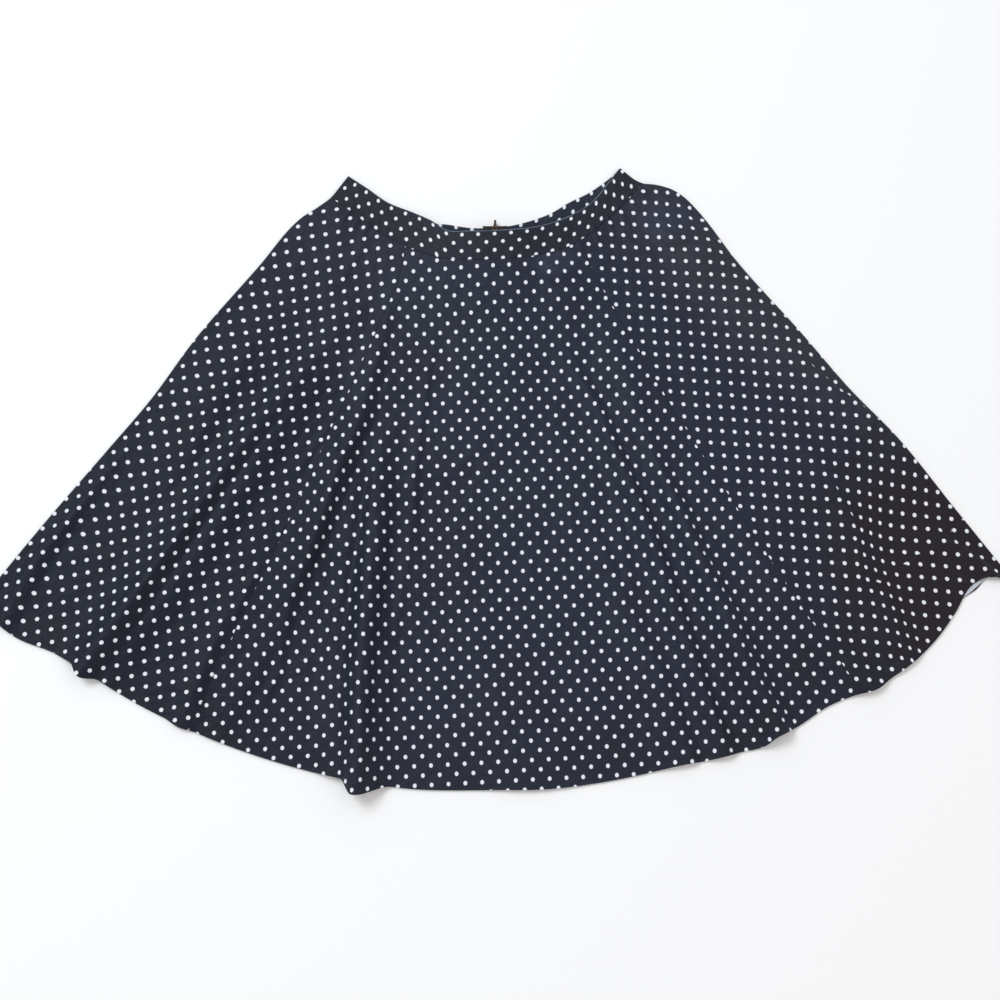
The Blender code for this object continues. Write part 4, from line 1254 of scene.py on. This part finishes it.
PALE_EDGE_DEPTH = (0.3, 1.5)
PALE_EDGE_PATCHY = (0.45, 0.7, 0.35, 1.0)
ROUGHNESS = (0.5, 0.8)
COTTON_GLOSS = {
    "Specular IOR Level": 0.16,
    "Sheen Weight": 0.12,
    "Sheen Roughness": 0.4,
    "Sheen Tint": (0.5, 0.68, 1.0, 1),
}
CRUMPLE_BUMP = (0.6, 0.006)
THREAD_BUMP = (0.25, 0.00006)
print("tone patches:", len(PATCHES))


# %% Helpers for the materials
def place_group(tree, group, values, vector):
    node = tree.nodes.new("ShaderNodeGroup")
    node.node_tree = group
    tree.links.new(vector, node.inputs["Vector"])
    for label, value in values.items():
        node.inputs[label].default_value = value
    return node


def uv_node(tree, name):
    node = tree.nodes.new("ShaderNodeUVMap")
    node.uv_map = name
    return node.outputs["UV"]


def new_material(name):
    material = bpy.data.materials.new(name)
    material.use_nodes = True
    return material, material.node_tree, material.node_tree.nodes["Principled BSDF"]


def add_bump(tree, shader, layers):
    """A chain of Bump nodes, one for each (height, strength, distance) given."""
    normal = None
    for height, strength, distance in layers:
        node = tree.nodes.new("ShaderNodeBump")
        node.inputs["Strength"].default_value = strength
        node.inputs["Distance"].default_value = distance
        tree.links.new(height, node.inputs["Height"])
        if normal is not None:
            tree.links.new(normal, node.inputs["Normal"])
        normal = node.outputs["Normal"]
    tree.links.new(normal, shader.inputs["Normal"])


print("material helpers ready")


# %% Dotted cotton
def dotted_cotton(name, ground, ground_painted_shade, ink, ink_worn, pale_top=False):
    """Printed cotton, with light and shade painted into its colour. With pale_top, the panel is paler along
    its pressed upper edge, in patches.
    """
    material, tree, shader = new_material(name)
    uv = uv_node(tree, "Print")
    where = tree.nodes.new("ShaderNodeTexCoord").outputs["Object"]
    painted_pool = place_group(tree, painted_light_patch, PAINTED_LIGHT_POOL, where)
    dots = place_group(tree, dot_print, DOT, uv)
    threads = place_group(tree, weave, {"Threads": COTTON_THREADS}, uv)
    soft = place_group(tree, crumple, {"Scale": COTTON_CRUMPLE}, uv)
    # Painted light in the middle, painted shade towards the edges.
    cloth = mix_colour(tree, painted_pool.outputs["Tone"], ground, ground_painted_shade)
    # Patches of painted light and painted shade, on every cotton but the band.
    for patch in [] if pale_top else PATCHES:
        outside_patch = place_group(tree, painted_light_patch, patch["place"], where)
        cloth = mix_colour(tree, outside_patch.outputs["Tone"], patch["tint"], cloth)
    paint = mix_colour(tree, math_node(tree, "MULTIPLY", dots.outputs["Wear"], INK_WEAR), ink, ink_worn)
    colour = mix_colour(tree, dots.outputs["Mask"], cloth, paint)
    if pale_top:
        # Paler along the pressed upper edge, in patches.
        split = tree.nodes.new("ShaderNodeSeparateXYZ")
        tree.links.new(uv_node(tree, "Sewing"), split.inputs["Vector"])
        worn = map_range(tree, split.outputs["X"], *PALE_EDGE_DEPTH, 1.0, 0.0)
        patchy = map_range(tree, soft.outputs["Height"], *PALE_EDGE_PATCHY)
        colour = mix_colour(tree, math_node(tree, "MULTIPLY", worn, patchy), colour, PALE_TOP_EDGE)
    tree.links.new(colour, shader.inputs["Base Color"])
    rough = map_range(tree, dots.outputs["Mask"], 0.0, 1.0, *ROUGHNESS, smooth=False)
    tree.links.new(rough, shader.inputs["Roughness"])
    for label, value in COTTON_GLOSS.items():
        shader.inputs[label].default_value = value
    layers = [(soft.outputs["Height"], *CRUMPLE_BUMP), (threads.outputs["Height"], *THREAD_BUMP)]
    add_bump(tree, shader, layers)
    return material


outside = dotted_cotton("dotted_cotton_outside", NAVY, NAVY_PAINTED_EDGE_SHADE, INK, INK_WORN)
band_outside = dotted_cotton("dotted_cotton_band", BAND_NAVY, BAND_PAINTED_EDGE_SHADE, INK, INK_WORN, pale_top=True)
inside = dotted_cotton("dotted_cotton_wrong_side", WRONG_SIDE, WRONG_SIDE_PAINTED_EDGE_SHADE, INK_BEHIND, INK_BEHIND_WORN)
print("cotton materials:", outside.name, band_outside.name, inside.name)

# %% [markdown]
# ## Zip and thread
#
# The tape is dark brown and ribbed, the overlock thread pale and nearly white, and the zip's metal
# dull and tarnished. The tape and the thread differ only in colour and in the size of their ribs,
# so one function makes both from the same weave. Uneven tarnish comes from the soft crumple.

# %% Zip and thread materials
TAPE_BROWN = (0.014, 0.0085, 0.0075)
TAPE_WORN = (0.026, 0.0160, 0.0135)
THREAD_PALE = (0.46, 0.50, 0.57)
THREAD_PALER = (0.62, 0.65, 0.70)
METAL = (0.115, 0.085, 0.070)
METAL_TARNISHED = (0.05, 0.034, 0.028)
METAL_ROUGHNESS = (0.3, 0.9, 0.28, 0.5)
METAL_CRUMPLE = 900.0
METAL_BUMP = (0.2, 0.00005)
RIB_BUMP = (0.6, 0.0002)


def woven_tape(name, colour, lighter, threads):
    material, tree, shader = new_material(name)
    uv = uv_node(tree, "Print")
    ribs = place_group(tree, weave, {"Threads": threads}, uv)
    tone = mix_colour(tree, ribs.outputs["Tone"], colour, lighter)
    tree.links.new(tone, shader.inputs["Base Color"])
    shader.inputs["Roughness"].default_value = 0.85
    shader.inputs["Sheen Weight"].default_value = 0.1
    add_bump(tree, shader, [(ribs.outputs["Height"], *RIB_BUMP)])
    return material


def dull_metal(name, colour, tarnish):
    """Cast zip metal, darker where the hand never polishes it."""
    material, tree, shader = new_material(name)
    where = tree.nodes.new("ShaderNodeTexCoord").outputs["Object"]
    soft = place_group(tree, crumple, {"Scale": METAL_CRUMPLE}, where)
    tree.links.new(mix_colour(tree, soft.outputs["Tone"], colour, tarnish), shader.inputs["Base Color"])
    rough = map_range(tree, soft.outputs["Height"], *METAL_ROUGHNESS)
    tree.links.new(rough, shader.inputs["Roughness"])
    shader.inputs["Metallic"].default_value = 1.0
    add_bump(tree, shader, [(soft.outputs["Height"], *METAL_BUMP)])
    return material


tape_brown = woven_tape("zip_tape_brown", TAPE_BROWN, TAPE_WORN, 14.0)
overlock_thread = woven_tape("overlock_thread", THREAD_PALE, THREAD_PALER, 6.0)
zip_metal = dull_metal("zip_metal", METAL, METAL_TARNISHED)
print("zip materials:", tape_brown.name, overlock_thread.name, zip_metal.name)

# %% [markdown]
# ## Dressing the pieces
#
# Every piece rides on one of the two bodies and stands for the plain node that it replaces.


def dress(piece, outer, inner):
    piece.data.materials.clear()
    piece.data.materials.append(outer)
    piece.data.materials.append(inner)
    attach(piece, SKIRT)


TABLE = "table"
for name, piece in made_pieces.items():
    if name.startswith("zip_tape"):
        dress(piece, tape_brown, tape_brown)
    elif name == "hem_overlock":
        dress(piece, overlock_thread, overlock_thread)
        continue
    elif name == "waistband_front":
        dress(piece, band_outside, inside)
    elif name.startswith("waistband_back"):
        dress(piece, outside, outside)
    elif name.startswith("back"):
        dress(piece, inside, outside)
    else:
        dress(piece, outside, inside)
    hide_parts(name)
teeth.data.materials.append(zip_metal)
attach(teeth, SKIRT)
for name in ("zip_slider", "zip_pull"):
    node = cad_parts[name]
    node.data.materials.clear()
    node.data.materials.append(zip_metal)

# %% [markdown]
# ## Table and light
#
# A pale table and soft light. The photo has a cool window high on the left, which puts a bluish
# sheen on the slopes that face it, and a warmer, dimmer room on the other side.

# %% The pale table
TABLE_HALF = 6.0
TABLE_DROP = 0.0002
TABLE_PALE = (0.92, 0.92, 0.92, 1)
TABLE_ROUGHNESS = 0.9


def pale_table():
    mesh = bpy.data.meshes.new(TABLE)
    signs = ((-1, -1), (1, -1), (1, 1), (-1, 1))
    corners = [(x * TABLE_HALF, y * TABLE_HALF, -TABLE_DROP) for x, y in signs]
    mesh.from_pydata(corners, [], [(0, 1, 2, 3)])
    table = bpy.data.objects.new(TABLE, mesh)
    bpy.context.collection.objects.link(table)
    material, _, shader = new_material("pale_table")
    shader.inputs["Base Color"].default_value = TABLE_PALE
    shader.inputs["Roughness"].default_value = TABLE_ROUGHNESS
    mesh.materials.append(material)


pale_table()
print("table", 2 * TABLE_HALF, "m wide")

# %% Lights
LIGHTS = [
    dict(name="window", at=(-2.1, 1.6, 3.7), size=2.2, power=98, colour=(0.84, 0.93, 1.0)),
    dict(name="room", at=(3.4, -2.4, 3.8), size=3.2, power=24, colour=(1.0, 0.84, 0.76)),
]
WORLD_LIGHT = 0.70
WORLD_COLOUR = (1.0, 0.985, 0.98, 1)


def aim(thing, target):
    away = np.array(target, float) - np.array(thing.location, float)
    flat = math.hypot(away[0], away[1])
    thing.rotation_euler = (math.atan2(flat, -away[2]), 0, math.atan2(away[1], away[0]) - math.pi / 2)


for row in LIGHTS:
    lamp_data = bpy.data.lights.new(row["name"], "AREA")
    lamp_data.shape = "DISK"
    lamp_data.size = row["size"]
    lamp_data.energy = row["power"]
    lamp_data.color = row["colour"]
    lamp = bpy.data.objects.new(row["name"], lamp_data)
    bpy.context.collection.objects.link(lamp)
    lamp.location = row["at"]
    aim(lamp, CAMERA_TARGET)

world = bpy.data.worlds.new("studio")
world.use_nodes = True
backdrop = world.node_tree.nodes["Background"]
backdrop.inputs["Color"].default_value = WORLD_COLOUR
backdrop.inputs["Strength"].default_value = WORLD_LIGHT
bpy.context.scene.world = world
bpy.context.scene.view_settings.view_transform = "Standard"
print("lights:", len(LIGHTS), "and a world of strength", WORLD_LIGHT)
